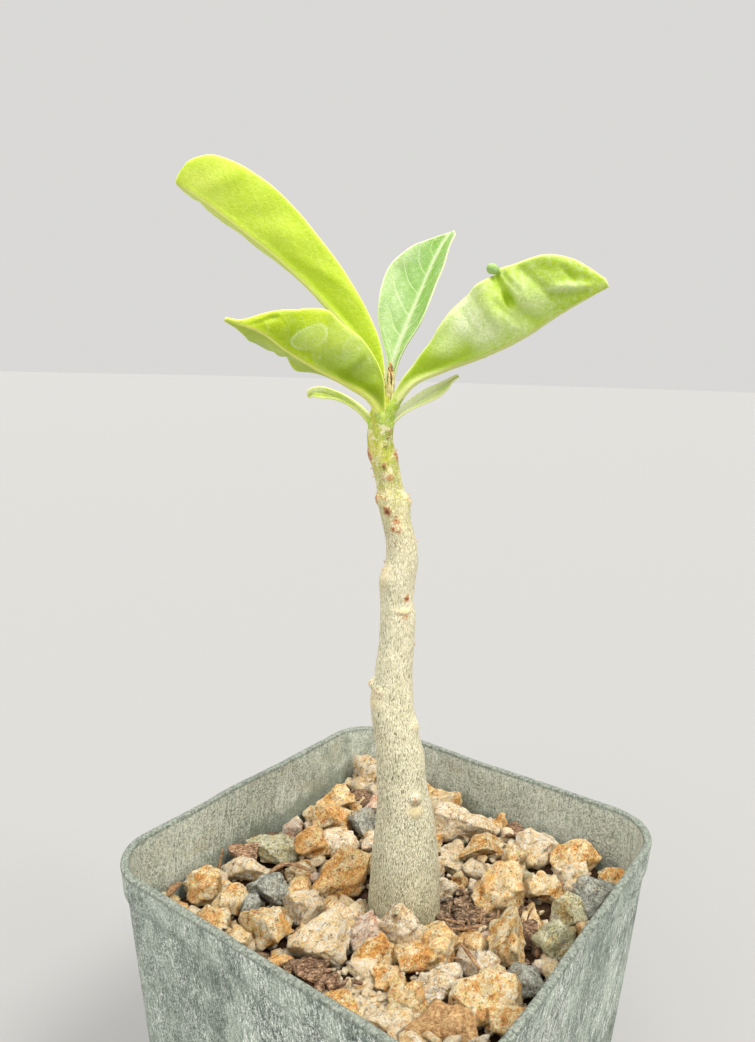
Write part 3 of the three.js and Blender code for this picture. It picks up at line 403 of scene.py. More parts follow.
class Finish:
    """A material made of nodes, whose lengths are in millimetres."""

    def __init__(self, name, roughness, **sockets):
        self.material = bpy.data.materials.new(name)
        self.material.use_nodes = True
        self.nodes = self.material.node_tree.nodes
        self.links = self.material.node_tree.links
        self.shader = self.nodes["Principled BSDF"]
        self.shader.inputs["Roughness"].default_value = roughness
        for key, value in sockets.items():
            self.shader.inputs[key.replace("_", " ")].default_value = value
        self.object_place = self.add("ShaderNodeTexCoord").outputs["Object"]

    def add(self, kind, values=None, **settings):
        """A node with settings, and with values or sockets fed to its inputs by their names or numbers."""
        node = self.nodes.new(kind)
        for key, value in settings.items():
            setattr(node, key, value)
        for key, value in (values or {}).items():
            self.feed(node.inputs[key], value)
        return node

    def feed(self, socket, value):
        if isinstance(value, bpy.types.NodeSocket):
            self.links.new(value, socket)
        else:
            socket.default_value = colour(value) if isinstance(value, str) else value

    def place(self, stretch=(1, 1, 1), turn=(0, 0, 0)):
        """Object coordinates in millimetres, stretched along axes that are turned."""
        values = {"Vector": self.object_place, "Scale": [MM / s for s in stretch], "Rotation": turn}
        return self.add("ShaderNodeMapping", values, vector_type="TEXTURE").outputs["Vector"]

    def noise(self, scale, detail=4.0, rough=0.55, stretch=(1, 1, 1), turn=(0, 0, 0), distortion=0.0):
        values = {"Vector": self.place(stretch, turn), "Scale": scale, "Detail": detail, "Roughness": rough,
                  "Distortion": distortion}
        return self.add("ShaderNodeTexNoise", values).outputs["Fac"]

    def cells(self, scale, feature="F1", stretch=(1, 1, 1)):
        values = {"Vector": self.place(stretch), "Scale": scale}
        return self.add("ShaderNodeTexVoronoi", values, feature=feature).outputs["Distance"]

    def ramp(self, value, *stops):
        """Grey or coloured steps: (place, number or colour)."""
        node = self.add("ShaderNodeValToRGB", {"Fac": value})
        elements = node.color_ramp.elements
        while len(elements) < len(stops):
            elements.new(0.5)
        for element, (place, level) in zip(elements, stops):
            element.position = place
            element.color = colour(level) if isinstance(level, str) else (level, level, level, 1)
        return node.outputs["Color"]

    def step(self, value, start, end, high=1.0):
        """From 0 where the value is start to high where it is end, whichever of the two is larger."""
        return self.ramp(value, *sorted([(start, 0.0), (end, high)]))

    def blend(self, factor, low, high, mode="MIX"):
        values = {0: factor, 6: low, 7: high}
        return self.add("ShaderNodeMix", values, data_type="RGBA", blend_type=mode).outputs[2]

    def calc(self, operation, first, second=0.0):
        return self.add("ShaderNodeMath", {0: first, 1: second}, operation=operation).outputs[0]

    def times(self, *values):
        return functools.reduce(lambda first, second: self.calc("MULTIPLY", first, second), values)

    def rest(self, value):
        return self.calc("SUBTRACT", 1.0, value)

    def paint(self, tone, *shares):
        """Lays a tone over what is there, as thick as the product of the shares."""
        self.tone = self.blend(self.times(*shares), self.tone, tone)

    def shade(self, value, *stops):
        """Multiplies the tone by a ramp."""
        self.tone = self.blend(1.0, self.tone, self.ramp(value, *stops), "MULTIPLY")

    def layer(self, name):
        return self.add("ShaderNodeAttribute", attribute_name=name).outputs["Fac"]

    def bump(self, height, depth, normal=None):
        """Relief of that depth in millimetres, over earlier relief where there is some."""
        values = {"Distance": depth * MM, "Strength": 1.0, "Height": height}
        if normal is not None:
            values["Normal"] = normal
        return self.add("ShaderNodeBump", values).outputs["Normal"]

    def finish(self, base, roughness=None, normal=None):
        for key, value in (("Base Color", base), ("Roughness", roughness), ("Normal", normal)):
            if value is not None:
                self.feed(self.shader.inputs[key], value)
        return self.material


# Chips: base, pale patches, iron stains, dark cracks, then how stained and how speckled each kind is
STONE_LOOKS = {
    "gold": ("gold stone", "#F5C580", "#FFEBBE", "#DE9244", "#7A522E", 0.42),
    "cream": ("cream stone", "#FAD49A", "#FFEECA", "#E4A45C", "#82603A", 0.3),
    "orange": ("rusty stone", "#F2BD7E", "#FFE4AF", "#D88C3C", "#704426", 0.48),
    "pink": ("pink stone", "#E6BA9C", "#F8E2C6", "#DA9876", "#7E543C", 0.4),
    "grey": ("slate stone", "#96978A", "#C6C6B6", "#AE9A76", "#40403A", 0.3, 0.6),
    "green": ("olive stone", "#BCB488", "#ECE6BE", "#CCA668", "#58543E", 0.36, 0.6),
    "speck": ("speckled stone", "#EECD9E", "#FFEFCF", "#CE9E68", "#62523E", 0.38, 0.9),
}
STONE_LIE = ((1, 1.2, 0.8), (0.4, 0.7, 0))  # how the stains, cracks and pits are stretched and turned


def stone_finish(name, base, pale, stain, dark, stained, speckled=0.35):
    """Sugary granite in patches, with iron stains, fine cracks, pitted hollows and rubbed edges, painted
    shade in the hollows and a painted highlight on the edges.
    """
    f = Finish(name, 0.85, Specular_IOR_Level=0.3)
    tint = f.layer("tint")
    mottle = f.noise(0.55, 8, 0.74, distortion=0.3)
    f.tone = f.blend(f.step(mottle, 0.42, 0.58), base, pale)
    rusty = f.step(f.noise(0.26, 7, 0.7, *STONE_LIE), 0.7 - stained / 2, 0.8 - stained / 2)
    f.paint(stain, rusty, 0.85)
    f.paint(stain, f.calc("GREATER_THAN", tint, 0.72), 0.2)
    gate = f.step(f.noise(0.6, 2), 0.62 - speckled / 2, 0.7 - speckled / 2)
    f.paint(dark, f.step(f.cells(1.5), 0.18, 0.1), gate, 0.7)
    sugar = f.noise(2.4, 4, 0.75)
    f.tone = f.blend(0.7, f.tone, f.ramp(sugar, (0.37, 0.12), (0.59, 1.0)), "OVERLAY")
    wander = f.calc("ABSOLUTE", f.calc("SUBTRACT", f.noise(0.4, 4, 0.62, *STONE_LIE, 0.9), 0.5))
    cracks = f.times(f.step(wander, 0.014, 0.0), f.step(f.noise(0.5, 3), 0.42, 0.52))
    f.paint(dark, cracks, 0.8)
    pits = f.noise(0.9, 8, 0.76, *STONE_LIE)
    # Painted shade in the pitted hollows
    f.paint(dark, f.step(pits, 0.45, 0.37, 0.9))
    # Painted shade where the surface is hollow, and pale edges that are partly rubbed wear and partly a
    # painted highlight
    edges = f.add("ShaderNodeNewGeometry").outputs["Pointiness"]
    f.shade(edges, (0.44, 0.66), (0.5, 1.0), (0.58, 1.0))
    f.paint(pale, f.step(edges, 0.52, 0.6, 0.45))
    f.shade(tint, (0.0, 0.9), (1.0, 1.16))
    normal = f.bump(f.calc("SUBTRACT", pits, f.times(cracks, 0.16)), 1.9)
    return f.finish(f.tone, f.ramp(mottle, (0.3, 0.75), (0.7, 0.95)), f.bump(sugar, 0.34, normal))


def stone_finishes():
    looks = {kind: stone_finish(*look) for kind, look in STONE_LOOKS.items()}
    looks["wood"] = wood_finish("split wood", "#D8A86E", "#F4D6A2", "#885832")
    looks["bark"] = wood_finish("bark chips", "#785840", "#CEAE8A", "#322219")
    return looks


def bark_flake_finish():
    return wood_finish("bark flakes", "#6E543E", "#CEB290", "#2A1E16")


def fibre_finish():
    return wood_finish("wood fibres", "#96704E", "#CEAC80", "#5C3E2A")


def wood_finish(name, base, pale, dark):
    """Split bark and wood, streaked along its grain."""
    f = Finish(name, 0.88, Specular_IOR_Level=0.3)
    streaks = f.noise(1.3, 7, 0.78, (0.5, 1.7, 1.7), (0.2, 0.3, -0.6))
    f.tone = f.ramp(streaks, (0.34, dark), (0.47, base), (0.64, pale))
    crumbs = f.noise(0.7, 5, 0.7)
    f.paint(dark, f.step(crumbs, 0.52, 0.4, 0.6))
    f.shade(f.layer("tint"), (0.0, 0.65), (1.0, 1.2))
    return f.finish(f.tone, normal=f.bump(f.calc("ADD", streaks, f.times(crumbs, 0.7)), 0.5))


def grain_finish(name, roughness, texture, tones, depth, **sockets):
    """One noise that gives both the tones and a relief."""
    f = Finish(name, roughness, **sockets)
    grain = f.noise(*texture)
    return f.finish(f.ramp(grain, *tones), normal=f.bump(grain, depth))


def soil_finish():
    tones = ((0.3, "#1E140F"), (0.5, "#463022"), (0.72, "#78583E"))
    return grain_finish("potting soil", 0.95, (0.9, 8, 0.75), tones, 0.8, Specular_IOR_Level=0.2)


def bed_and_gap_shade_finish():
    # Dark soil tones, darkened further as painted shade in the gaps between the chips
    tones = ((0.3, "#241A12"), (0.52, "#523A26"), (0.74, "#8C6C48"))
    return grain_finish("gravel bed", 0.95, (0.8, 8, 0.75), tones, 0.8, Specular_IOR_Level=0.2)


def tip_scale_finish():
    """Pale yellowish scales round the growing tip, browning at their edges."""
    tones = ((0.36, "#805830"), (0.46, "#D4C07C"), (0.62, "#F2EAB8"))
    return grain_finish("tip scales", 0.6, (1.7, 4, 0.7, (1.6, 1.6, 0.5)), tones, 0.12,
                        Subsurface_Weight=0.1, Subsurface_Scale=0.0008)


def bud_finish():
    """The brown growing tip, streaked along its length."""
    tones = ((0.38, "#402610"), (0.48, "#A4743C"), (0.62, "#DEBE7A"))
    return grain_finish("bud", 0.6, (1.9, 4, 0.7, (1.2, 1.2, 0.6)), tones, 0.2)


def scale_finish():
    """Dry papery scales left by old leaves."""
    tones = ((0.3, "#A8744A"), (0.55, "#D8B88E"), (0.75, "#F0E4CE"))
    return grain_finish("dry scales", 0.8, (2.0, 4, 0.7), tones, 0.1)


def pot_finish():
    """Grey-green plastic with a chalky lime bloom, fine scratches, scuffs, a worn rim, darker low inside, and
    painted shade on the rim and far corner.
    """
    f = Finish("weathered plastic", 0.62, Specular_IOR_Level=0.4)
    inside = f.layer("inside")
    edge = f.layer("edge")
    bands = f.noise(0.16, 6, 0.7, (1, 1, 0.25), (-0.06, 0.2, 0))
    outer = f.ramp(bands, (0.4, "#283C30"), (0.5, "#465A4B"), (0.59, "#7E8E7E"))
    inner = f.ramp(f.noise(0.06, 6, 0.65), (0.3, "#485648"), (0.52, "#6A7564"), (0.72, "#969B88"))
    f.tone = f.blend(inside, outer, inner)
    streaks = f.noise(1.5, 7, 0.8, (1.4, 1.4, 0.09), (-0.07, 0.22, 0), 0.25)
    haze = f.noise(0.07, 7, 0.75, (1, 1, 0.5), (-0.1, 0.3, 0))
    streaky = f.times(f.step(streaks, 0.48, 0.54), f.ramp(haze, (0.4, 0.2), (0.56, 1.0)))
    fine = f.noise(3.4, 8, 0.85, (1.2, 1.2, 0.6))
    dust = f.times(f.step(fine, 0.48, 0.54), f.ramp(f.noise(0.1, 7, 0.75), (0.4, 0.25), (0.58, 1.0)), 0.75)
    hatch = f.noise(1.5, 3, 0.5, (2.2, 2.2, 0.07), (-0.16, 0.34, 0))
    scuffs = f.times(f.step(hatch, 0.6, 0.63), f.step(f.noise(0.13), 0.42, 0.56))
    slant = f.noise(1.2, 3, 0.5, (2.6, 2.6, 0.14), (0.35, -0.4, 0))
    strokes = f.times(f.step(slant, 0.63, 0.68), f.step(f.noise(0.1), 0.46, 0.56))
    scratched = f.times(f.calc("MAXIMUM", scuffs, strokes), 0.9)
    white = f.calc("MAXIMUM", f.calc("MAXIMUM", streaky, dust), scratched)
    white = f.times(white, f.rest(f.times(inside, 0.3)))
    f.paint("#EEF2E7", white, f.ramp(f.noise(2.6, 4, 0.8), (0.43, 0.22), (0.52, 1.0)))
    lime = f.step(f.noise(1.9, 8, 0.85), 0.49, 0.54)
    f.paint("#DEDFCE", lime, inside, 0.75)
    brushed = f.step(f.noise(0.9, 7, 0.8, (0.3, 0.3, 1.7), (0.2, -0.3, 0)), 0.48, 0.57)
    f.paint("#BCBEAA", brushed, inside, 0.4)
    grime = f.step(f.noise(1.9, 6, 0.8, (1.2, 1.2, 0.3)), 0.46, 0.34)
    f.paint("#3E4A3C", grime, 0.65)
    ragged = f.times(f.calc("SUBTRACT", f.noise(0.3), 0.5), 1.1)
    # Inside: darker low down, and painted shade growing towards the far corner
    low_band_and_far_shade = f.step(f.calc("ADD", f.layer("low_band_and_far_shade"), ragged), 0.4, 0.8)
    f.paint("#546150", low_band_and_far_shade, 0.6)
    stain = f.step(f.noise(0.11, 4, 0.6, (1, 1, 2.2)), 0.55, 0.72)
    f.paint("#96825E", stain, inside, 0.3)
    # Painted shade: a darker mottled tone on the rim, and lightly on the band's step, against the strong
    # light from above
    rim_shade_mottle = f.noise(1.5, 8, 0.82, (1.4, 1.4, 0.4))
    rim = f.ramp(rim_shade_mottle, (0.42, "#2A332C"), (0.5, "#424B42"), (0.6, "#969C8E"))
    f.paint(rim, edge, 0.86)
    f.paint("#B0B6A6", edge, f.step(f.noise(1.5, 5, 0.75), 0.42, 0.58), 0.4)
    normal = f.bump(f.noise(0.12, 3), 0.6, f.bump(fine, 0.15))
    return f.finish(f.tone, f.ramp(white, (0.0, 0.52), (1.0, 0.88)), normal)


SKIN_SPAN = 200  # ramps over the stem's height are shares of this
SKIN_FOOT = ((0.3, "#7E784C"), (0.7, "#A0986C"))
# Skins up the stem: where each begins and covers the one below, in millimetres, and its tones
SKINS = [
    (66, 82, (0.3, "#929072"), (0.55, "#ACA88A"), (0.78, "#C4BEA2")),
    (84, 116, (0.3, "#B4AF8A"), (0.55, "#CEC7A1"), (0.78, "#E1D8B5")),
    (146, 160, (0.3, "#B6B280"), (0.6, "#CEC694"), (0.8, "#E4DAB0")),
    (152, 170, (0.36, "#8A9E04"), (0.54, "#B8BE1E"), (0.68, "#E2D860")),
]


def stem_finish():
    """Corky skin in a fine net over grey-green, with young green skin near the leaves."""
    f = Finish("stem skin", 0.72, Specular_IOR_Level=0.3)
    height = f.calc("DIVIDE", f.add("ShaderNodeSeparateXYZ", {0: f.place()}).outputs["Z"], SKIN_SPAN)

    def up(low, high):
        return f.step(height, low / SKIN_SPAN, high / SKIN_SPAN)

    ground = f.noise(0.3, 6, 0.65, (1, 1, 0.45))
    f.tone = f.ramp(ground, *SKIN_FOOT)
    for low, high, *tones in SKINS:
        f.paint(f.ramp(ground, *tones), up(low, high))
    warped = f.noise(4.2, 4, 0.7, (1, 1, 0.42), distortion=0.5)
    cork = f.times(f.step(warped, 0.46, 0.58), f.rest(f.times(up(154, 170), 0.75)))
    f.paint("#F6EFD6", cork, f.ramp(up(64, 92), (0.0, 0.55), (1.0, 1.0)), 0.8)
    slits = f.noise(4.6, 3, 0.6, (1.1, 1.1, 0.24), (0, 0, 0.4))
    f.paint("#5C573E", f.step(slits, 0.44, 0.38), f.rest(up(112, 188)), 0.95)
    net = f.step(f.cells(1.15, "DISTANCE_TO_EDGE", (1, 1, 0.8)), 0.06, 0.0)
    f.paint("#8C7046", net, up(140, 152), f.rest(up(164, 174)), 0.8)
    silver = f.step(f.noise(0.45, 6, 0.72), 0.5, 0.58)
    f.paint("#ECE4BE", silver, up(150, 162), f.rest(up(180, 186)), 0.7)
    f.paint("#E8D4A2", f.layer("pale"), 0.85)
    rust = f.layer("rust")
    torn = f.times(f.calc("SUBTRACT", f.noise(1.2, 5, 0.75), 0.5), 2.8)
    scar = f.step(f.calc("ADD", rust, torn), 0.42, 0.56, 0.9)
    scar_tone = f.ramp(f.noise(2.0, 3), (0.38, "#924E30"), (0.54, "#D49C6C"))
    f.paint(scar_tone, scar, f.calc("GREATER_THAN", rust, 0.04))
    f.paint("#4A1E12", f.layer("dark"), 0.95)
    relief = f.calc("ADD", f.times(warped, 0.8), f.times(slits, 0.7))
    return f.finish(f.tone, f.ramp(warped, (0.3, 0.62), (0.7, 0.85)), f.bump(relief, 0.22))


GLOW = (0.8, 1.0, 0.25)  # how far red, green and blue light spread in a leaf, as shares of its depth
# Leaves: upper face, deep green (also the painted shade in creases), back, veins (also the painted sheen),
# rim (also the painted light on lower halves), gloss, strength of the fine net and of the pale mottling
LEAF_LOOKS = {
    "bright": ("bright leaf", "#B4C83A", "#B2C91C", "#B6CB38", "#DEEA74",
               "#EAF08C", 0.44, 0.02),
    "grassy": ("grassy leaf", "#C8D622", "#8CA600", "#B4C808", "#D6E2AE",
               "#E4EA7E", 0.36, 0.03, 0.16),
    "soft": ("soft leaf", "#B4C83E", "#94B002", "#A8BF32", "#F6FADC",
             "#E4EC98", 0.4, 0.05, 0.26),
    "pale": ("pale leaflet", "#C4D08A", "#B0C264", "#C4D280", "#E6ECC4",
             "#E8ECB2", 0.42, 0.04, 0.3),
    "waxy": ("waxy leaf", "#92B36E", "#7AA43C", "#A6BA60", "#D6E2B2",
             "#DCE4BA", 0.36, 0.03),
}


def leaf_finish(name, face, deep_green_and_crease_shade, back, vein, rim, gloss, net=0.05, frosted=0.4):
    """A living leaf: two faces, pale veins and rim, a fine net, soft light through the blade, painted sheen,
    painted crease shade and painted light on lower halves.
    """
    f = Finish(name, gloss, Subsurface_Weight=0.3, Subsurface_Scale=0.0012, Subsurface_Radius=GLOW,
               Specular_IOR_Level=0.28)
    f.tone = f.blend(f.layer("topside"), back, face)
    f.paint(deep_green_and_crease_shade, f.step(f.noise(0.13, 5, 0.6), 0.66, 0.4, 0.75))
    mottle = f.noise(1.1, 6, 0.72)
    f.paint(vein, f.step(mottle, 0.46, 0.7, frosted))
    meshwork = f.step(f.cells(1.0, "DISTANCE_TO_EDGE"), 0.12, 0.0)
    f.paint(vein, meshwork, net)
    # The water marks, and patches of painted sheen
    f.paint(vein, f.layer("sheen"), f.ramp(f.noise(2.6, 5, 0.8), (0.38, 0.4), (0.58, 1.0)))
    off_vein = f.calc("ABSOLUTE", f.calc("SUBTRACT", f.calc("FRACT", f.layer("vein_place")), 0.5))
    f.paint(vein, f.step(off_vein, 0.055, 0.0), f.layer("vein_strength"))
    # The deep green with the painted crease shade, the painted light on lower halves, the pale rib and rim
    edges = (("deep_green_and_crease_shade", deep_green_and_crease_shade, 0.9), ("painted_light", rim, 0.6), ("rib", rim, 1.0), ("margin", rim, 0.9))
    for layer, tone, share in edges:
        f.paint(tone, f.layer(layer), share)
    relief = f.calc("ADD", f.times(meshwork, -0.3), f.times(mottle, 0.8))
    return f.finish(f.tone, f.ramp(f.noise(0.5), (0.3, gloss), (0.7, gloss + 0.14)), f.bump(relief, 0.09))


def petiole_finish():
    """Bright green leaf bases with paler specks."""
    f = Finish("leaf bases", 0.5, Subsurface_Weight=0.15, Subsurface_Scale=0.001, Subsurface_Radius=GLOW)
    blotches = f.noise(0.5, 5, 0.65)
    f.tone = f.ramp(blotches, (0.3, "#96B828"), (0.55, "#B2CA46"), (0.78, "#CEDA76"))
    f.paint("#DEE0B4", f.step(f.noise(2.2, 4, 0.7), 0.54, 0.62, 0.7))
    return f.finish(f.tone, normal=f.bump(blotches, 0.15))


# Making pieces

def make_piece(name, points, faces, finish, slot, replaced, layers=None):
    """A smooth mesh from points in millimetres, riding on the part's body."""
    mesh = bpy.data.meshes.new(name)
    mesh.from_pydata((np.asarray(points) * MM).tolist(), [], [tuple(int(i) for i in face) for face in faces])
    mesh.polygons.foreach_set("use_smooth", [True] * len(mesh.polygons))
    for key, values in (layers or {}).items():
        mesh.attributes.new(key, "FLOAT", "POINT").data.foreach_set("value", np.asarray(values, dtype=float))
    mesh.materials.append(finish)
    mesh.update()
    piece = bpy.data.objects.new(name, mesh)
    bpy.context.scene.collection.objects.link(piece)
    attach(piece, BODY)
    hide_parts(replaced)
    return piece


def random_from(seed):
    """The same repeatable numbers as the solids use."""
    state = seed
    mask = 0xFFFFFFFF

    def draw():
        nonlocal state
        state = (state + 0x6D2B79F5) & mask
        t = ((state ^ (state >> 15)) * (1 | state)) & mask
        t = ((t + (((t ^ (t >> 7)) * (61 | t)) & mask)) ^ t) & mask
        return (t ^ (t >> 14)) / 4294967296
    return draw


def roughness_at(points, scale, seed, octaves=3):
    """Noise from about -1 to 1 at each point, with that many waves a millimetre."""
    shift = Vector((seed * 17.3, seed * 5.7, seed * 11.9))
    values = np.zeros(points.shape[:-1])
    for octave in range(octaves):
        grow = scale * 2 ** octave
        found = [noise.noise(Vector(p) * grow + shift) for p in points.reshape(-1, 3).tolist()]
        values += 0.5 ** octave * np.reshape(found, values.shape)
    return values


def bell(value):
    return np.exp(-np.square(value))


def unit(value):
    """The value, kept from 0 to 1."""
    return np.clip(value, 0, 1)


def normed(way):
    """A direction of length 1."""
    return np.asarray(way, dtype=float) / np.linalg.norm(way)


def heading(turn, rise=0.0):
    """A flat direction at a turn in radians, with a rise added."""
    return np.array([math.cos(turn), math.sin(turn), rise])


def spokes(count):
    """Angles all the way round, and a flat direction at each."""
    angles = np.arange(count) / count * FULL_TURN
    return angles, np.stack([np.cos(angles), np.sin(angles), 0 * angles], axis=-1)


def between(rows, place):
    """Smooth values between (place, value...) rows."""
    rows = np.array(rows, dtype=float)
    last = len(rows) - 1
    i = int(np.clip(np.searchsorted(rows[:, 0], place, side="right") - 1, 0, last - 1))

    def slope(k):
        a = rows[max(k - 1, 0)]
        b = rows[min(k + 1, last)]
        return (b[1:] - a[1:]) / (b[0] - a[0])
    low = rows[i]
    high = rows[i + 1]
    span = high[0] - low[0]
    t = min(max((place - low[0]) / span, 0), 1)
    keep = 2 * t ** 3 - 3 * t ** 2 + 1
    leave = t ** 3 - 2 * t ** 2 + t
    arrive = t ** 3 - t ** 2
    return keep * low[1:] + leave * span * slope(i) + (1 - keep) * high[1:] + arrive * span * slope(i + 1)


def turned(x, y, turn, place=(0, 0)):
    """A flat place turned about the origin, then moved."""
    c = math.cos(turn)
    s = math.sin(turn)
    return place[0] + c * x - s * y, place[1] + s * x + c * y


def to_part(points):
    """From the plant's own frame to the part's."""
    x, y, z = np.moveaxis(np.asarray(points, dtype=float), -1, 0)
    return np.stack([*turned(x, y, PLANT_FACING, PLANT_PLACE), z + POT_HEIGHT], axis=-1)


def grid_faces(rows, columns, start=0, wrap=False):
    """Quads over a grid of points, joined round when it wraps."""
    faces = []
    for r in range(rows - 1):
        for c in range(columns if wrap else columns - 1):
            a = start + r * columns + c
            b = start + r * columns + (c + 1) % columns
            faces.append((a, b, b + columns, a + columns))
    return faces


def closed_loft(rings):
    """Points and faces through rings of the same count, closed with a fan at each end."""
    rings = np.asarray(rings, dtype=float)
    rows, count = rings.shape[:2]
    points = np.concatenate([rings.reshape(-1, 3), rings[[0, -1]].mean(axis=1)])
    faces = grid_faces(rows, count, wrap=True)
    first = rows * count
    for i in range(count):
        following = (i + 1) % count
        faces.append((first, following, i))
        faces.append((first + 1, (rows - 1) * count + i, (rows - 1) * count + following))
    return points, faces


def hoop(centre, side, up, wide, high, around):
    """A ring of points round a centre, that far out along its side and up."""
    angles = spokes(around)[0][:, None]
    return centre + side * np.cos(angles) * wide + up * np.sin(angles) * high


def tube(centres, radii, around=24):
    """A closed tube through points, with a radius at each."""
    centres = np.array(centres)
    rings = []
    side = np.array([1.0, 0.0, 0.0])
    for centre, way, radius in zip(centres, np.gradient(centres, axis=0), radii):
        way = normed(way)
        side = normed(side - way * (side @ way))
        rings.append(hoop(centre, side, np.cross(way, side), radius, radius, around))
    return closed_loft(rings)


# The pot

def outer_half(z):
    return POT_WIDTH / 2 - BAND_PROUD - POT_DRAFT * (POT_HEIGHT - z)


def inner_half(z):
    return outer_half(z) - POT_WALL


def square_ring(half, corner, z, corner_steps=10, side_steps=14):
    """A square ring with round corners, with points along its sides too."""
    ring = []
    corners = [np.array([x, y, 0]) * (half - corner) for x, y in ((1, 1), (-1, 1), (-1, -1), (1, -1))]
    for quarter in range(4):
        for step in range(corner_steps + 1):
            arm = corner * heading((quarter + step / corner_steps) * math.pi / 2)
            ring.append(corners[quarter] + arm)
        origin = ring[-1]
        run = corners[(quarter + 1) % 4] + arm - origin
        ring += [origin + run * step / side_steps for step in range(1, side_steps)]
    return np.array(ring) + [0, 0, z]


def pot_profile():
    """Rows of (half width, corner, height, inside, edge): up the outside, over the rim and down inside."""
    foot = POT_HEIGHT - BAND_HEIGHT
    under = outer_half(0) - FOOT_ROUND
    quarter = [(1 - math.cos(a), 1 - math.sin(a)) for a in np.linspace(0, math.pi / 2, 5)]
    rows = [(under - 24, POT_CORNER - 6, 0, 0, 0)]
    rows += [(under - inset, POT_CORNER - FOOT_ROUND, 0, 0, 0) for inset in (12, 4, 0)]
    for up, inward in quarter[1:]:
        rows.append((outer_half(FOOT_ROUND * up) - FOOT_ROUND * inward, POT_CORNER, FOOT_ROUND * up, 0, 0))
    rows += [(outer_half(z), POT_CORNER, z, 0, 0) for z in np.linspace(4, foot - 0.6, 26)]
    rows.append((outer_half(foot - 0.3) + 0.06, POT_CORNER, foot - 0.3, 0, 0))
    for share, up in ((0.5, 0.2), (1, 0.8)):
        rows.append((outer_half(foot) + BAND_PROUD * share, POT_CORNER, foot + up, 0, 0.1))
    band = np.linspace(foot + 1.2, POT_HEIGHT - 1, 6)
    rows += [(outer_half(z) + BAND_PROUD, POT_CORNER, z, 0, 0) for z in band]
    for inward, down in quarter:
        rows.append((POT_WIDTH / 2 - LIP * inward, POT_CORNER, POT_HEIGHT - LIP * down, 0.3, 1))
    corner = POT_CORNER - POT_WALL
    for down, outward in quarter:
        rows.append((inner_half(POT_HEIGHT) + LIP * outward, corner, POT_HEIGHT - LIP * down, 0.6, 1))
    rows += [(inner_half(z), corner, z, 1, 0) for z in np.linspace(POT_HEIGHT - 1, POT_FLOOR, 30)]
    return rows + [(inner_half(POT_FLOOR) - inset, POT_CORNER - 4, POT_FLOOR, 1, 0) for inset in (8, 24)]


def make_pot():
    """The shell, a little out of true towards its rim, with the layers that its finish reads."""
    rows = np.array(pot_profile())
    rings = [square_ring(*row[:3]) for row in rows]
    points, faces = closed_loft(rings)
    inside, edge = np.concatenate([np.repeat(rows[:, 3:], len(rings[0]), axis=0), [(0, 0), (1, 0)]]).T
    slack = unit((points[:, 2] - WOBBLE_START) / (POT_HEIGHT - WOBBLE_START)) ** 2
    away = points[:, :2] / np.maximum(np.abs(points[:, :2]).max(axis=1, keepdims=True), 1)
    slow = roughness_at(points * [1, 1, 0.4], 0.035, 3, 2)
    points[:, :2] += away * (slow * slack * WOBBLE)[:, None]
    points[:, 2] -= unit(roughness_at(points, 0.35, 7) - 0.25) * edge * NICK
    # Inside the pot: darker low down, and painted shade growing towards the far corner
    far_corner = unit((points[:, 0] + points[:, 1]) / POT_WIDTH)
    low_band_and_far_shade = inside * (unit((LOW_BAND_TOP - points[:, 2]) / 10) + 0.6 * far_corner)
    layers = {"inside": inside, "edge": edge, "low_band_and_far_shade": low_band_and_far_shade}
    cut_drain_holes(make_piece("nursery_pot", points, faces, pot_finish(), "pot", "pot", layers))


def cut_drain_holes(pot):
    cutters = []
    for sx in (-1, 1):
        for sy in (-1, 1):
            bpy.ops.mesh.primitive_cylinder_add(
                vertices=32, radius=DRAIN_RADIUS * MM, depth=6 * POT_FLOOR * MM,
                location=(sx * DRAIN_SPREAD * MM, sy * DRAIN_SPREAD * MM, 0))
            cutters.append(bpy.context.object)
            cut = pot.modifiers.new("drain", "BOOLEAN")
            cut.operation = "DIFFERENCE"
            cut.object = cutters[-1]
            cut.solver = "EXACT"
    finished = bpy.data.meshes.new_from_object(pot.evaluated_get(bpy.context.evaluated_depsgraph_get()))
    pot.modifiers.clear()
    pot.data = finished
    for cutter in cutters:
        bpy.data.objects.remove(cutter)


# The soil and gravel

def bed_height(x):
    return BED_TOP + HEAP_RISE * unit((x - HEAP_FOOT) / (HEAP_CREST - HEAP_FOOT))


def mound_share(x, y):
    """1 on the soil that shows round and beside the stem, falling to 0 outside it."""
    sx, sy = PLANT_PLACE
    px, py = PATCH_PLACE
    length = math.hypot(px - sx, py - sy)
    along = unit(((x - sx) * (px - sx) + (y - sy) * (py - sy)) / length ** 2)
    distance = np.hypot(x - sx - along * (px - sx), y - sy - along * (py - sy))
    radius = MOUND_RADIUS + along * (PATCH_RADIUS - MOUND_RADIUS)
    return unit((radius + 0.8 - distance) / 1.6)


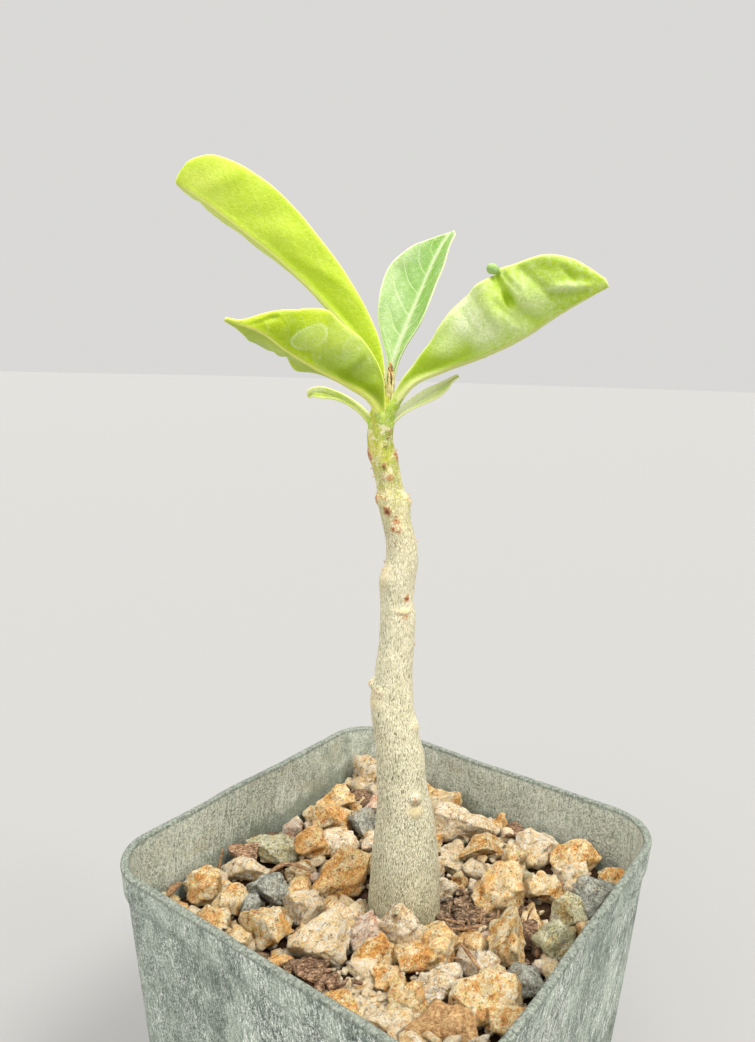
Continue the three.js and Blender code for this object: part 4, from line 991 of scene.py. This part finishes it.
def filled_block(centre, low, heights, rings, crowding, crumbs, tall):
    """A closed block that fills the pot, with a crumbly top at the height that heights gives for x and y."""
    def outline(z):
        return square_ring(inner_half(z) - SOIL_GAP, POT_CORNER - POT_WALL - SOIL_GAP, z, 12, 44)
    edge = outline(SOIL_TOP)
    middle = np.array([*centre, 0.0])
    layers = [outline(low) * [1, 1, 0] * s + [0, 0, low] for s in (0.3, 1.0)]
    layers += [outline(z) for z in np.linspace(low + 1, SOIL_TOP - 0.5, 6)]
    below = len(layers) * len(edge)
    for step in range(rings):
        share = (1 - step / rings) ** crowding
        ring = middle * (1 - share) + edge * [1, 1, 0] * share
        ring[:, 2] = heights(ring[:, 0], ring[:, 1])
        layers.append(ring)
    points, faces = closed_loft(layers)
    points[:, 2] = np.maximum(points[:, 2], low)
    top = np.arange(len(points)) >= below
    top[-2] = False
    points[top, 2] += roughness_at(points[top], *crumbs) * tall
    return points, faces


def make_soil():
    def heights(x, y):
        return SOIL_TOP + (MOUND_TOP - SOIL_TOP) * mound_share(x, y)
    points, faces = filled_block(PATCH_PLACE, POT_FLOOR + SOIL_GAP, heights, 70, 1.5, (0.45, 2, 4), 0.9)
    make_piece("soil_mix", points, faces, soil_finish(), "soil", "potting_soil")


def make_bed():
    """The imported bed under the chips, which dips under the soil that shows."""
    def heights(x, y):
        return bed_height(x) - 0.6 - 2.6 * mound_share(x, y)
    points, faces = filled_block((0, 0), SOIL_TOP - 2, heights, 60, 1.0, (0.4, 5), 1.0)
    make_piece("gravel_bed", points, faces, bed_and_gap_shade_finish(), "stone", "gravel")


@functools.cache
def icosphere(level):
    """Unit points and triangles, made once for each level."""
    ball = bmesh.new()
    bmesh.ops.create_icosphere(ball, subdivisions=level, radius=1)
    points = np.array([v.co[:] for v in ball.verts])
    faces = np.array([[v.index for v in face.verts] for face in ball.faces])
    ball.free()
    return points, faces


def chip(long, wide, high, rng, level, cuts=16, rough=0.08, ledges=0.0):
    """An angular chip: a ball with flats cut at random, stretched to size, broken in ledges and roughened."""
    points, faces = icosphere(level)
    for _ in range(cuts):
        way = normed([rng.gauss(0, 1) for _ in range(3)])
        past = np.maximum(points @ way - rng.uniform(0.42, 0.86), 0)
        points = points - past[:, None] * way
    middle = (points.max(axis=0) + points.min(axis=0)) / 2
    points = (points - middle) / np.ptp(points, axis=0) * [long, wide, high]
    away = points / np.maximum(np.linalg.norm(points, axis=1, keepdims=True), 1e-6)
    seed = rng.uniform(0, 50)
    bumps = roughness_at(points, 1.6 / max(long, 1), seed, 2) + 0.5 * roughness_at(points, 0.9, seed + 9, 2)
    if ledges:
        steps = roughness_at(points, 2.4 / max(long, 1), seed + 20) * 4
        whole = np.floor(steps)
        bumps += ledges * (whole + unit((steps - whole - 0.35) / 0.3)) / 4
    return points + away * (bumps * rough * (long + wide + high) / 3)[:, None], faces


def tumbled(shape, rng, tilt, turn=None):
    """A shape tilted at random by up to tilt radians, then turned, at random too where no turn is given."""
    points, faces = shape
    tilt_x = Matrix.Rotation(rng.uniform(-tilt, tilt), 3, "X")
    tilt_y = Matrix.Rotation(rng.uniform(-tilt, tilt), 3, "Y")
    turn = rng.uniform(*ANY_TURN) if turn is None else turn
    return points @ np.array(Matrix.Rotation(turn, 3, "Z") @ tilt_y @ tilt_x).T, faces


def kept_inside(points):
    """Points pushed in from the pot's wall and out from the stem."""
    corner = POT_CORNER - POT_WALL
    half = (inner_half(points[:, 2]) - WALL_MARGIN)[:, None]
    flat = np.clip(points[:, :2], -half, half)
    beyond = np.abs(flat) - (half - corner)
    reach = np.hypot(*beyond.T)
    out = (beyond.min(axis=1) > 0) & (reach > corner)
    moved = np.sign(flat) * (half - corner + beyond * (corner / np.maximum(reach, 1e-6))[:, None])
    flat = np.where(out[:, None], moved, flat)
    gap = flat - PLANT_PLACE
    distance = np.hypot(*gap.T)
    near = distance < STEM_KEEP_OUT
    flat[near] = PLANT_PLACE + gap[near] / distance[near, None] * STEM_KEEP_OUT
    return np.column_stack([flat, points[:, 2]])


class Heap:
    """Small shapes gathered into one mesh."""

    def __init__(self):
        self.points = []
        self.faces = []
        self.tints = []
        self.count = 0

    def add(self, points, faces, tint):
        self.points.append(points)
        self.faces.append(faces + self.count)
        self.tints.append(np.full(len(points), tint))
        self.count += len(points)

    def drop(self, shape, place, rng):
        """A shape moved to a place and kept clear of the wall and the stem, in a random tint."""
        points, faces = shape
        self.add(kept_inside(points + place), faces, rng.random())

    def make(self, name, finish, slot, replaced):
        points = np.concatenate(self.points)
        faces = np.concatenate(self.faces)
        make_piece(name, points, faces, finish, slot, replaced, {"tint": np.concatenate(self.tints)})


def stone_list():
    """The landmark stones, then the same smaller ones as the solids have."""
    draw = random_from(FILL_SEED)
    kinds = random.Random(FILL_SEED)
    stones = list(LANDMARK_STONES)
    for i in range(FILL_TRIES):
        x = (2 * draw() - 1) * FILL_REACH
        y = (2 * draw() - 1) * FILL_REACH
        size = FILL_LARGEST + (FILL_SMALLEST - FILL_LARGEST) * (i / FILL_TRIES)
        turn = draw() * 360
        slender = FILL_SLENDER[0] + (FILL_SLENDER[1] - FILL_SLENDER[0]) * draw()
        in_corner = min(abs(x), abs(y)) > FILL_REACH - FILL_CORNER
        on_stem = math.dist((x, y), PLANT_PLACE) < STEM_CLEARANCE + size * FILL_MARGIN
        on_patch = math.dist((x, y), PATCH_PLACE) < PATCH_RADIUS + size * FILL_MARGIN
        near = any(math.dist((x, y), s[:2]) < (size + (s[3] + s[4]) / 2) / 2 * FILL_CLOSENESS for s in stones)
        if not (in_corner or on_stem or on_patch or near):
            z = float(bed_height(x)) + size * FILL_PROUD
            kind = kinds.choice(FILL_KINDS)
            stones.append((x, y, z, size, size * slender, size * FILL_FLATNESS, turn, kind))
    return stones


def make_stones(finishes):
    rng = random.Random(STONE_SEED)
    heaps = {kind: Heap() for kind in finishes}
    for x, y, z, long, wide, high, turn, kind in stone_list() + EXTRA_STONES:
        level = 4 if long > FINE_STONE else 3
        shape = chip(long * STONE_GROWTH, wide * STONE_GROWTH, high, rng, level, ledges=1.6)
        heaps[kind].drop(tumbled(shape, rng, 0.3, PLANT_FACING + math.radians(turn)), [x, y, z], rng)
    scatter_small(heaps)
    for kind, heap in heaps.items():
        heap.make(f"stones_{kind}", finishes[kind], "soil" if kind == "bark" else "stone", "gravel")


def anywhere(rng):
    """A random place in the pot."""
    return [rng.uniform(-SCATTER_REACH, SCATTER_REACH) for _ in range(2)]


def scatter_small(heaps):
    """Small chips in the gaps between the large ones."""
    rng = random.Random(SMALL_SEED)
    kinds = FILL_KINDS + ["bark", "gold", "cream"]
    for _ in range(SMALL_COUNT):
        x, y = anywhere(rng)
        size = rng.uniform(*SMALL_SIZES)
        if mound_share(x, y) > 0.3 and rng.random() < 0.75:
            continue
        shape = chip(size, size * rng.uniform(0.6, 0.9), size * rng.uniform(0.5, 0.8), rng, 2, 8, 0.04)
        shape = tumbled(shape, rng, 0.6)
        place = [x, y, float(bed_height(x)) + rng.uniform(-0.2, 1.8)]
        heaps[rng.choice(kinds)].drop(shape, place, rng)


def make_grit(finish):
    """Grains between the chips, a third of them gathered near the front."""
    rng = random.Random(GRIT_SEED)
    heap = Heap()
    for i in range(GRIT_COUNT):
        gathered = i % 3 == 0
        x, y = [middle + rng.gauss(0, GRIT_SPREAD) for middle in GRIT_PLACE] if gathered else anywhere(rng)
        size = rng.uniform(*GRIT_SIZES)
        shape = chip(size, size * 0.8, size * 0.7, rng, 1, 5, 0.02)
        z = float(bed_height(x)) + rng.uniform(-0.1, 0.9) + (0.9 if gathered else 0)
        heap.drop(shape, [x, y, z], rng)
    heap.make("grit", finish, "stone", "gravel")


def small_loft(rings):
    """A closed loft in triangles, ready for a heap."""
    points, faces = closed_loft(rings)
    triangles = [(face[0], face[k], face[k + 1]) for face in faces for k in range(1, len(face) - 1)]
    return points, np.array(triangles)


def strip(middle, way, bend, long, wide, thick):
    """A thin curved fibre or splinter."""
    way = normed(way)
    side = normed(np.cross(way, [0, 0, 1]))
    up = np.cross(side, way)
    rings = []
    for t in np.arange(11) / 10:
        centre = middle + way * long * (t - 0.5) + up * bend * (1 - (2 * t - 1) ** 2) + side * bend * t * t
        fade = (0.35 + 0.65 * math.sin(math.pi * min(max(t, 0.04), 0.96))) / 2
        rings.append(hoop(centre, side, up, wide * fade, thick * fade, 6))
    return small_loft(rings)


def near_patch(rng, count, every, near, far, reach, over_bed):
    """Places on and round the soil that shows, at the height of the ground. One in every few strays far."""
    for i in range(count):
        x, y = [middle + rng.gauss(0, near if i % every else far) for middle in PATCH_PLACE]
        if max(abs(x), abs(y)) <= reach:
            yield x, y, MOUND_TOP if mound_share(x, y) > 0.5 else float(bed_height(x)) + over_bed


def make_bark_bits():
    """Flakes and fibres of bark on the soil that shows, with a few strays and twigs among the chips."""
    rng = random.Random(BITS_SEED)
    flakes = Heap()
    for x, y, top in near_patch(rng, *FLAKES):
        long = rng.uniform(2.2, 6)
        shape = chip(long, long * rng.uniform(0.3, 0.55), rng.uniform(0.6, 1.4), rng, 2, 8, 0.05)
        flakes.drop(tumbled(shape, rng, 0.5), [x, y, top + rng.uniform(-0.1, 0.9)], rng)
    flakes.make("bark_flakes", bark_flake_finish(), "soil", "potting_soil")
    fibres = Heap()
    for x, y, top in near_patch(rng, *FIBRES):
        way = heading(rng.uniform(*ANY_TURN), rng.uniform(-0.25, 0.25))
        middle = (x, y, top + rng.uniform(0.2, 1.3))
        sizes = [rng.uniform(*limits) for limits in ((-0.8, 0.8), (3, 8), (0.25, 0.7), (0.15, 0.35))]
        fibres.drop(strip(middle, way, *sizes), 0, rng)
    for low, high, wide, bend in TWIGS:
        way = np.subtract(high, low)
        points, faces = strip(np.add(low, high) / 2, way, bend, np.linalg.norm(way), wide, wide * 0.7)
        fibres.add(kept_inside(points), faces, TWIG_SHADE)
    fibres.make("wood_fibres", fibre_finish(), "soil", "potting_soil")


def make_bark_heap(finish):
    """Bark crumbs in a heap near the front left wall."""
    rng = random.Random(BARK_SEED)
    heap = Heap()
    for _ in range(BARK_COUNT):
        x, y = turned(*[rng.gauss(0, spread) for spread in BARK_SPREAD], BARK_TURN, BARK_PLACE)
        long = rng.uniform(2.0, 5.0)
        shape = chip(long, long * rng.uniform(0.35, 0.65), long * rng.uniform(0.25, 0.5), rng, 3, 12, 0.09)
        heap.drop(tumbled(shape, rng, 0.7), [x, y, BARK_TOP + rng.uniform(0, 1.8)], rng)
    heap.make("bark_heap", finish, "soil", "gravel")


# The stem

def make_stem():
    """A loft through the sections, swollen at the marks, with a slow waver and a fine grain up its skin."""
    angles, ways = spokes(STEM_AROUND)
    rings = []
    shades = []
    radii = []
    for z in np.linspace(STEM[0][0] + 0.2, STEM[-1][0], STEM_STEPS):
        x, radius = between(STEM, z)
        reach = np.full(STEM_AROUND, radius)
        marks = np.zeros((3, STEM_AROUND))
        for place, turn, tall, wide, proud, rust, dark, pale in STEM_MARKS:
            if abs(z - place) > 3 * tall:
                continue
            up = (z - place) / tall
            off = ((angles - math.radians(turn) + np.pi) % FULL_TURN - np.pi) * radius / wide
            spot = np.exp(-((up ** 2 + off ** 2) ** 1.6))
            reach += proud * spot
            marks = np.maximum(marks, [rust * spot, dark * bell(up / 0.5) * bell(off / 0.5), pale * spot])
        rings.append(ways * reach[:, None] + [x, 0, z])
        shades.append(marks)
        radii.append(radius)
    rings = np.array(rings)
    broad = roughness_at(rings * [1, 1, 0.5], 0.12, 4, 2)
    fine = roughness_at(rings * [1, 1, 0.38], 0.9, 9, 2)
    size = np.clip(np.array(radii)[:, None] / 6, 0.2, 1)
    rings += ways * ((broad * 0.24 + fine * 0.1) * size)[..., None]
    points, faces = closed_loft(rings)
    shades = zip(("rust", "dark", "pale"), np.moveaxis(shades, 1, 0))
    layers = {key: np.append(shade, [0, 0]) for key, shade in shades}
    make_piece("woody_stem", to_part(points), faces, stem_finish(), "bark", "stem", layers)


# Leaves

def curve_points(points, places):
    """A centripetal Catmull-Rom curve through points, at places from 0 to 1, and its direction there."""
    P = np.array(points, dtype=float)
    last = len(P) - 1

    def at(place):
        scaled = min(max(place, 0), 1) * last
        i = min(int(scaled), last - 1)
        w = scaled - i
        p1 = P[i]
        p2 = P[i + 1]
        p0 = P[i - 1] if i > 0 else 2 * p1 - p2
        p3 = P[i + 2] if i + 2 <= last else 2 * p2 - p1
        d0, d1, d2 = (np.sum((b - a) ** 2) ** 0.25 for a, b in ((p0, p1), (p1, p2), (p2, p3)))
        t1 = ((p1 - p0) / d0 - (p2 - p0) / (d0 + d1) + (p2 - p1) / d1) * d1
        t2 = ((p2 - p1) / d1 - (p3 - p1) / (d1 + d2) + (p3 - p2) / d2) * d1
        return p1 + t1 * w + (3 * p2 - 3 * p1 - 2 * t1 - t2) * w * w + (2 * p1 - 2 * p2 + t1 + t2) * w ** 3
    small = 1e-4
    origins = np.array([at(t) for t in places])
    ways = np.array([at(t + small) - at(t - small) for t in places])
    return origins, ways / np.linalg.norm(ways, axis=1, keepdims=True)


def leaf_axes(way, side):
    """The front direction square to a midrib that runs along way, and the direction up across the leaf."""
    front = normed(np.array([0, -1, 0]) + way * way[1])
    return front, np.cross(front, way) * side


def fold_lift(name, places, spread):
    """How far the creases lift each point of a leaf's grid, in millimetres."""
    along, across = np.meshgrid(places * FOLD_SPAN[0], spread * FOLD_SPAN[1], indexing="ij")
    lift = np.zeros(along.shape)
    for t0, s0, t1, s1, tall, wide in LEAF_FOLDS.get(name, []):
        start = np.multiply((t0, s0), FOLD_SPAN)
        run = np.multiply((t1, s1), FOLD_SPAN) - start
        share = unit(((along - start[0]) * run[0] + (across - start[1]) * run[1]) / (run @ run))
        distance = np.hypot(along - start[0] - share * run[0], across - start[1] - share * run[1])
        lift += tall * bell(distance / wide)
    return lift


def leaf_sheen(name, places, spread):
    """How strongly the water marks and the patches of painted sheen show at each point of a leaf's grid."""
    along, across = np.meshgrid(places * SPOT_SPAN[0], spread * SPOT_SPAN[1], indexing="ij")
    sheen = np.zeros(along.shape)
    for place, side, long, wide, turn, edge, fill in LEAF_SPOTS.get(name, []):
        x, y = turned(along - place * SPOT_SPAN[0], across - side * SPOT_SPAN[1], -math.radians(turn))
        off = np.hypot(x / long, y / wide)
        spot = np.maximum(edge * bell((off - 1) / 0.09), fill * (bell(off) if edge == 0 else (off < 1)))
        sheen = np.maximum(sheen, spot)
    return sheen


def leaf_surface(leaf, places, spread):
    """The middle of a blade at each point of its grid, and how far that point lies from the midrib."""
    origins, ways = curve_points(leaf["midrib"], places)
    v = np.abs(spread)
    lower = (spread <= 0).astype(int)
    angles = np.take(leaf["angles"], lower) + np.take(leaf["curl"], lower) * (v - 0.5)
    middle = []
    reach = []
    for origin, way, t in zip(origins, ways, places):
        front, up = leaf_axes(way, leaf["side"])
        sweep = math.radians(leaf["sweep"]) * (1 - t ** SWEEP_FADE)
        twist = leaf.get("tip_twist", 0) * unit((t - TWIST_START) / TWIST_RUN)
        angle = np.radians(angles + lower * twist)[:, None]
        out = up * np.cos(angle) + front * np.sin(angle)
        over = front * np.cos(angle) - up * np.sin(angle)
        waves = [sum(tall * bell((t - place) / length) for place, length, tall, side in leaf["waves"]
                     if side == wanted) for wanted in (1, -1)]
        rise = np.take(waves, lower) * v ** 2
        reach.append(np.take([between(leaf[key], t)[0] for key in ("upper", "lower")], lower) * v)
        away = out * math.cos(sweep) + way * math.sin(sweep)
        middle.append(origin + away * reach[-1][:, None] + over * rise[:, None])
    return np.array(middle), np.array(reach)


def make_leaf(name, leaf, finish, slot):
    """A blade with a swollen midrib, creases and veins, and the layers that its finish reads."""
    rows, half = LEAFLET_GRID if name.startswith("leaflet") else LEAF_GRID
    places = 1 - (1 - np.arange(rows + 1) / rows) ** ROW_CROWDING
    spread = np.arange(-half, half + 1) / half
    middle, reach = leaf_surface(leaf, places, spread)
    t = places[:, None]
    v = np.abs(spread)
    normal = np.cross(np.gradient(middle, axis=0), np.gradient(middle, axis=1))
    normal /= np.linalg.norm(normal, axis=2, keepdims=True)
    folds = fold_lift(name, places, spread)
    lift = roughness_at(middle, 0.1, len(name), 2) * 0.45 + folds
    middle += normal * (lift * np.minimum(reach / 4, 1))[..., None]

    place = (t - VEIN_LEAN * v ** 2) * VEIN_PAIRS + np.where(spread > 0, VEIN_OFFSET, 0.0)
    place += 2 + 0.12 * roughness_at(middle, 0.3, 7, 2)
    inner = unit((0.95 - v) / 0.3)
    strength = inner * unit((t - 0.05) / 0.1) * unit((0.92 - t) / 0.1) * leaf.get("veined", 0.2)
    vein = bell((place % 1 - 0.5) / 0.07) * (strength > 0) * inner
    rib_width = leaf.get("rib_least", 0.16) + leaf.get("rib", 0.5) * bell(t / 0.24) + 0.12 * (1 - t)
    edge_gap = (1 - v) * np.maximum(reach / np.maximum(v, 0.03), 0.2)
    # Deep green near the base and along the midrib, and painted shade in the creases where the folds sink
    deep_green_and_crease_shade = unit(-folds) + leaf.get("base_deep", 0) * bell((t - 0.34) / 0.2) * bell(reach / 3.2)
    deep_green_and_crease_shade += leaf.get("foot_deep", 0) * bell((t - 0.2) / 0.11)
    deep_green_and_crease_shade += leaf.get("rib_deep", 0) * bell((t - 0.68) / 0.3) * bell((reach - 1) / 2.2)
    layers = {
        "vein_place": place,
        "vein_strength": strength,
        "rib": bell(reach / rib_width) * unit(1.3 - 0.4 * t) * unit((1 - t) / 0.1),
        "margin": np.maximum(bell(edge_gap / leaf.get("rim", RIM_WIDTH)), bell((1 - t) / 0.004)),
        "sheen": leaf_sheen(name, places, spread),
        "deep_green_and_crease_shade": unit(deep_green_and_crease_shade),
        # Painted light on the lower half of the blade
        "painted_light": leaf.get("lower_painted_light", 0) * unit(-spread * 6) + 0 * t,
    }
    layers = {key: np.tile(np.ravel(layer), 2) for key, layer in layers.items()}

    half_thick = BLADE * (0.4 + 0.6 * unit(edge_gap / 0.8)) / 2
    ridge = MIDRIB_SWELL * (1 - 0.8 * t) * bell(reach / MIDRIB_REACH) * unit((1 - t) / 0.12)
    under = half_thick + ridge + 0.05 * vein
    above = half_thick + ridge * 0.3 - 0.05 * vein
    top_is_plus = (leaf["angles"][1] < leaf["angles"][0]) == (leaf["side"] == -1)
    plus, minus = (above, under) if top_is_plus else (under, above)
    points = np.stack([middle + normal * plus[..., None], middle - normal * minus[..., None]]).reshape(-1, 3)
    count = reach.size
    layers["topside"] = np.repeat([top_is_plus, not top_is_plus], count)
    columns = len(spread)
    faces = [f[::-1] for f in grid_faces(rows + 1, columns)] + grid_faces(rows + 1, columns, count)
    grid = np.arange(count).reshape(rows + 1, columns)
    rim = [*grid[0, :-1], *grid[:-1, -1], *grid[-1, :0:-1], *grid[:0:-1, 0]]
    faces += [(a, b, count + b, count + a) for a, b in zip(rim, rim[1:] + rim[:1])]
    make_piece(name + "_blade", to_part(points), faces, finish, slot, name, layers)


def make_leaves():
    looks = {key: leaf_finish(*look) for key, look in LEAF_LOOKS.items()}
    for name, look, slot in LEAF_DRESS:
        make_leaf(name, LEAVES[name], looks[look], slot)
    make_leaf_bases()
    make_curl(looks["waxy"])


def make_leaf_bases():
    """The thick green bases that run from each midrib down into the stem."""
    finish = petiole_finish()
    for name, (thin, thick, sink) in LEAF_BASES.items():
        along = np.linspace(BASE_REACH, 0, 14)
        origins, _ = curve_points(LEAVES[name]["midrib"], along)
        path = list(origins)
        girths = [thick * 0.8, thin * 0.75, thin * 0.2]
        radii = list(np.interp(along, [0, BASE_REACH / 2, BASE_REACH], girths))
        ahead = (origins[-1] - origins[-3]) * 4
        for share in np.arange(1, 15) / 14:
            path.append((origins[-1] + ahead * share) * (1 - share) + np.array(sink) * share)
            radii.append(thick * (0.8 + 0.25 * math.sin(math.pi * share)))
        points, faces = tube(path, radii)
        rings = points[:-2].reshape(len(path), -1, 3)
        lumps = roughness_at(rings, 0.5, len(name), 2) * 0.05
        rings += (rings - np.array(path)[:, None]) * lumps[..., None]
        make_piece(name + "_base", to_part(points), faces, finish, "leaf", name)


def make_curl(finish):
    """The small roll where the right leaf's edge curls back."""
    leaf = LEAVES["leaf_right"]
    origins, ways = curve_points(leaf["midrib"], [CURL_PLACE])
    front, up = leaf_axes(ways[0], leaf["side"])
    sweep = math.radians(leaf["sweep"])
    away = up * math.cos(sweep) + ways[0] * math.sin(sweep)
    top = origins[0] + away * between(leaf["upper"], CURL_PLACE)[0]
    centres = []
    radii = []
    for share in np.arange(15) / 14:
        rise, along = between(CURL_PATH, share)
        centres.append(top + up * rise + ways[0] * along - front * 0.3)
        radii.append(CURL_RADIUS * math.sqrt(max(1 - (2 * share - 1) ** 2, 0.02)) * (1.05 - 0.2 * share))
    points, faces = tube(centres, radii, 28)
    # A faint painted sheen over the whole curl
    layers = {"sheen": np.full(len(points), 0.1), "topside": np.ones(len(points))}
    make_piece("leaf_right_curl", to_part(points), faces, finish, "leaf", "leaf_right", layers)


# Scales and the growing tip

def add_blade(heap, start, out, way, long, wide, thick, rng):
    """A small pointed scale, slightly bent, with its back to the out direction."""
    way = normed(way)
    side = np.array([-out[1], out[0], 0])
    over = np.cross(way, side)
    bend = rng.uniform(-0.15, 0.25) * long
    rings = []
    for share in np.arange(9) / 8:
        centre = start + way * long * share + over * bend * share ** 2
        half = wide / 2 * math.sqrt(max(1 - share ** 1.6, 0.012))
        rings.append(hoop(centre, side, over, half, thick / 2, 8))
    points, faces = small_loft(rings)
    heap.add(to_part(points), faces, rng.random())


def make_scales():
    """Small torn scales that stand out from the stem, and the ones that wrap the growing tip."""
    rng = random.Random(SCALE_SEED)
    dry = Heap()
    for z, turn, long, wide, rise in STEM_SCALES:
        x, radius = between(STEM, z)
        out = heading(math.radians(turn))
        start = out * (radius - SCALE_ROOT) + [x, 0, z]
        add_blade(dry, start, out, out + [0, 0, rise], long * 0.55 + 0.4, wide * 1.5, 0.2, rng)
    dry.make("dry_scales", scale_finish(), "bark", "stem")
    tip = Heap()
    for turn, lean, long in TIP_SCALES:
        out = heading(math.radians(turn))
        start = out * 0.75 + BUD_PLACE + TIP_SCALE_START
        add_blade(tip, start, out, out * lean + [0, 0, 1], long, 0.8, 0.22, rng)
    tip.make("tip_scales", tip_scale_finish(), "bud", "bud")


def make_bud():
    """A small pointed tip with three soft ribs."""
    angles, ways = spokes(28)
    rings = []
    for share in np.arange(25) / 24:
        size = between(BUD_PROFILE, share)[0] * BUD_RADIUS * (1 + 0.14 * np.cos(3 * angles + share) ** 3)
        rings.append(ways * size[:, None] + BUD_PLACE + [0, 0, share * BUD_LENGTH])
    points, faces = closed_loft(rings)
    make_piece("growing_tip", to_part(points), faces, bud_finish(), "bud", "bud")


# The setting

def aim(azimuth, elevation):
    """A direction from its angles in radians."""
    flat = math.cos(elevation)
    return Vector((math.cos(azimuth) * flat, math.sin(azimuth) * flat, math.sin(elevation)))


def make_camera():
    data = bpy.data.cameras.new("camera")
    data.sensor_width = SENSOR
    data.lens = FOCAL_PIXELS / PHOTO_HEIGHT * SENSOR
    data.clip_start = 0.01
    camera = bpy.data.objects.new("camera", data)
    bpy.context.scene.collection.objects.link(camera)
    ahead = aim(CAMERA_YAW, -CAMERA_PITCH)
    right = Vector((math.sin(CAMERA_YAW), -math.cos(CAMERA_YAW), 0))
    up = right.cross(ahead)
    rolled_right = right * math.cos(CAMERA_ROLL) + up * math.sin(CAMERA_ROLL)
    rolled_up = up * math.cos(CAMERA_ROLL) - right * math.sin(CAMERA_ROLL)
    turn = Matrix((rolled_right, rolled_up, -ahead)).transposed()
    camera.matrix_world = Matrix.Translation(Vector(CAMERA_PLACE) * MM) @ turn.to_4x4()
    bpy.context.scene.camera = camera


def add_sun(name, azimuth, elevation, strength, spread, tone):
    """A wide, soft light from far away."""
    data = bpy.data.lights.new(name, "SUN")
    data.energy = strength
    data.angle = math.radians(spread)
    data.color = tone
    light = bpy.data.objects.new(name, data)
    source = aim(math.radians(azimuth), math.radians(elevation))
    light.rotation_euler = (-source).to_track_quat("-Z", "Y").to_euler()
    bpy.context.scene.collection.objects.link(light)


def make_setting():
    bpy.ops.mesh.primitive_plane_add(size=40, location=(0, 0, 0))
    floor = bpy.context.object
    floor.name = "floor"
    floor.data.materials.append(Finish("floor", 0.9).finish("#989795"))
    world = bpy.data.worlds.new("soft sky")
    world.use_nodes = True
    sky = world.node_tree.nodes["Background"].inputs
    sky["Color"].default_value = SKY_TONE
    sky["Strength"].default_value = SKY_STRENGTH
    bpy.context.scene.world = world
    bpy.context.scene.view_settings.view_transform = "Standard"
    for sun in SUNS:
        add_sun(*sun)


make_camera()
make_setting()
make_pot()
make_soil()
make_bed()
stone_looks = stone_finishes()
make_stones(stone_looks)
make_grit(stone_looks["cream"])
make_bark_bits()
make_bark_heap(stone_looks["bark"])
make_stem()
make_leaves()
make_bud()
make_scales()
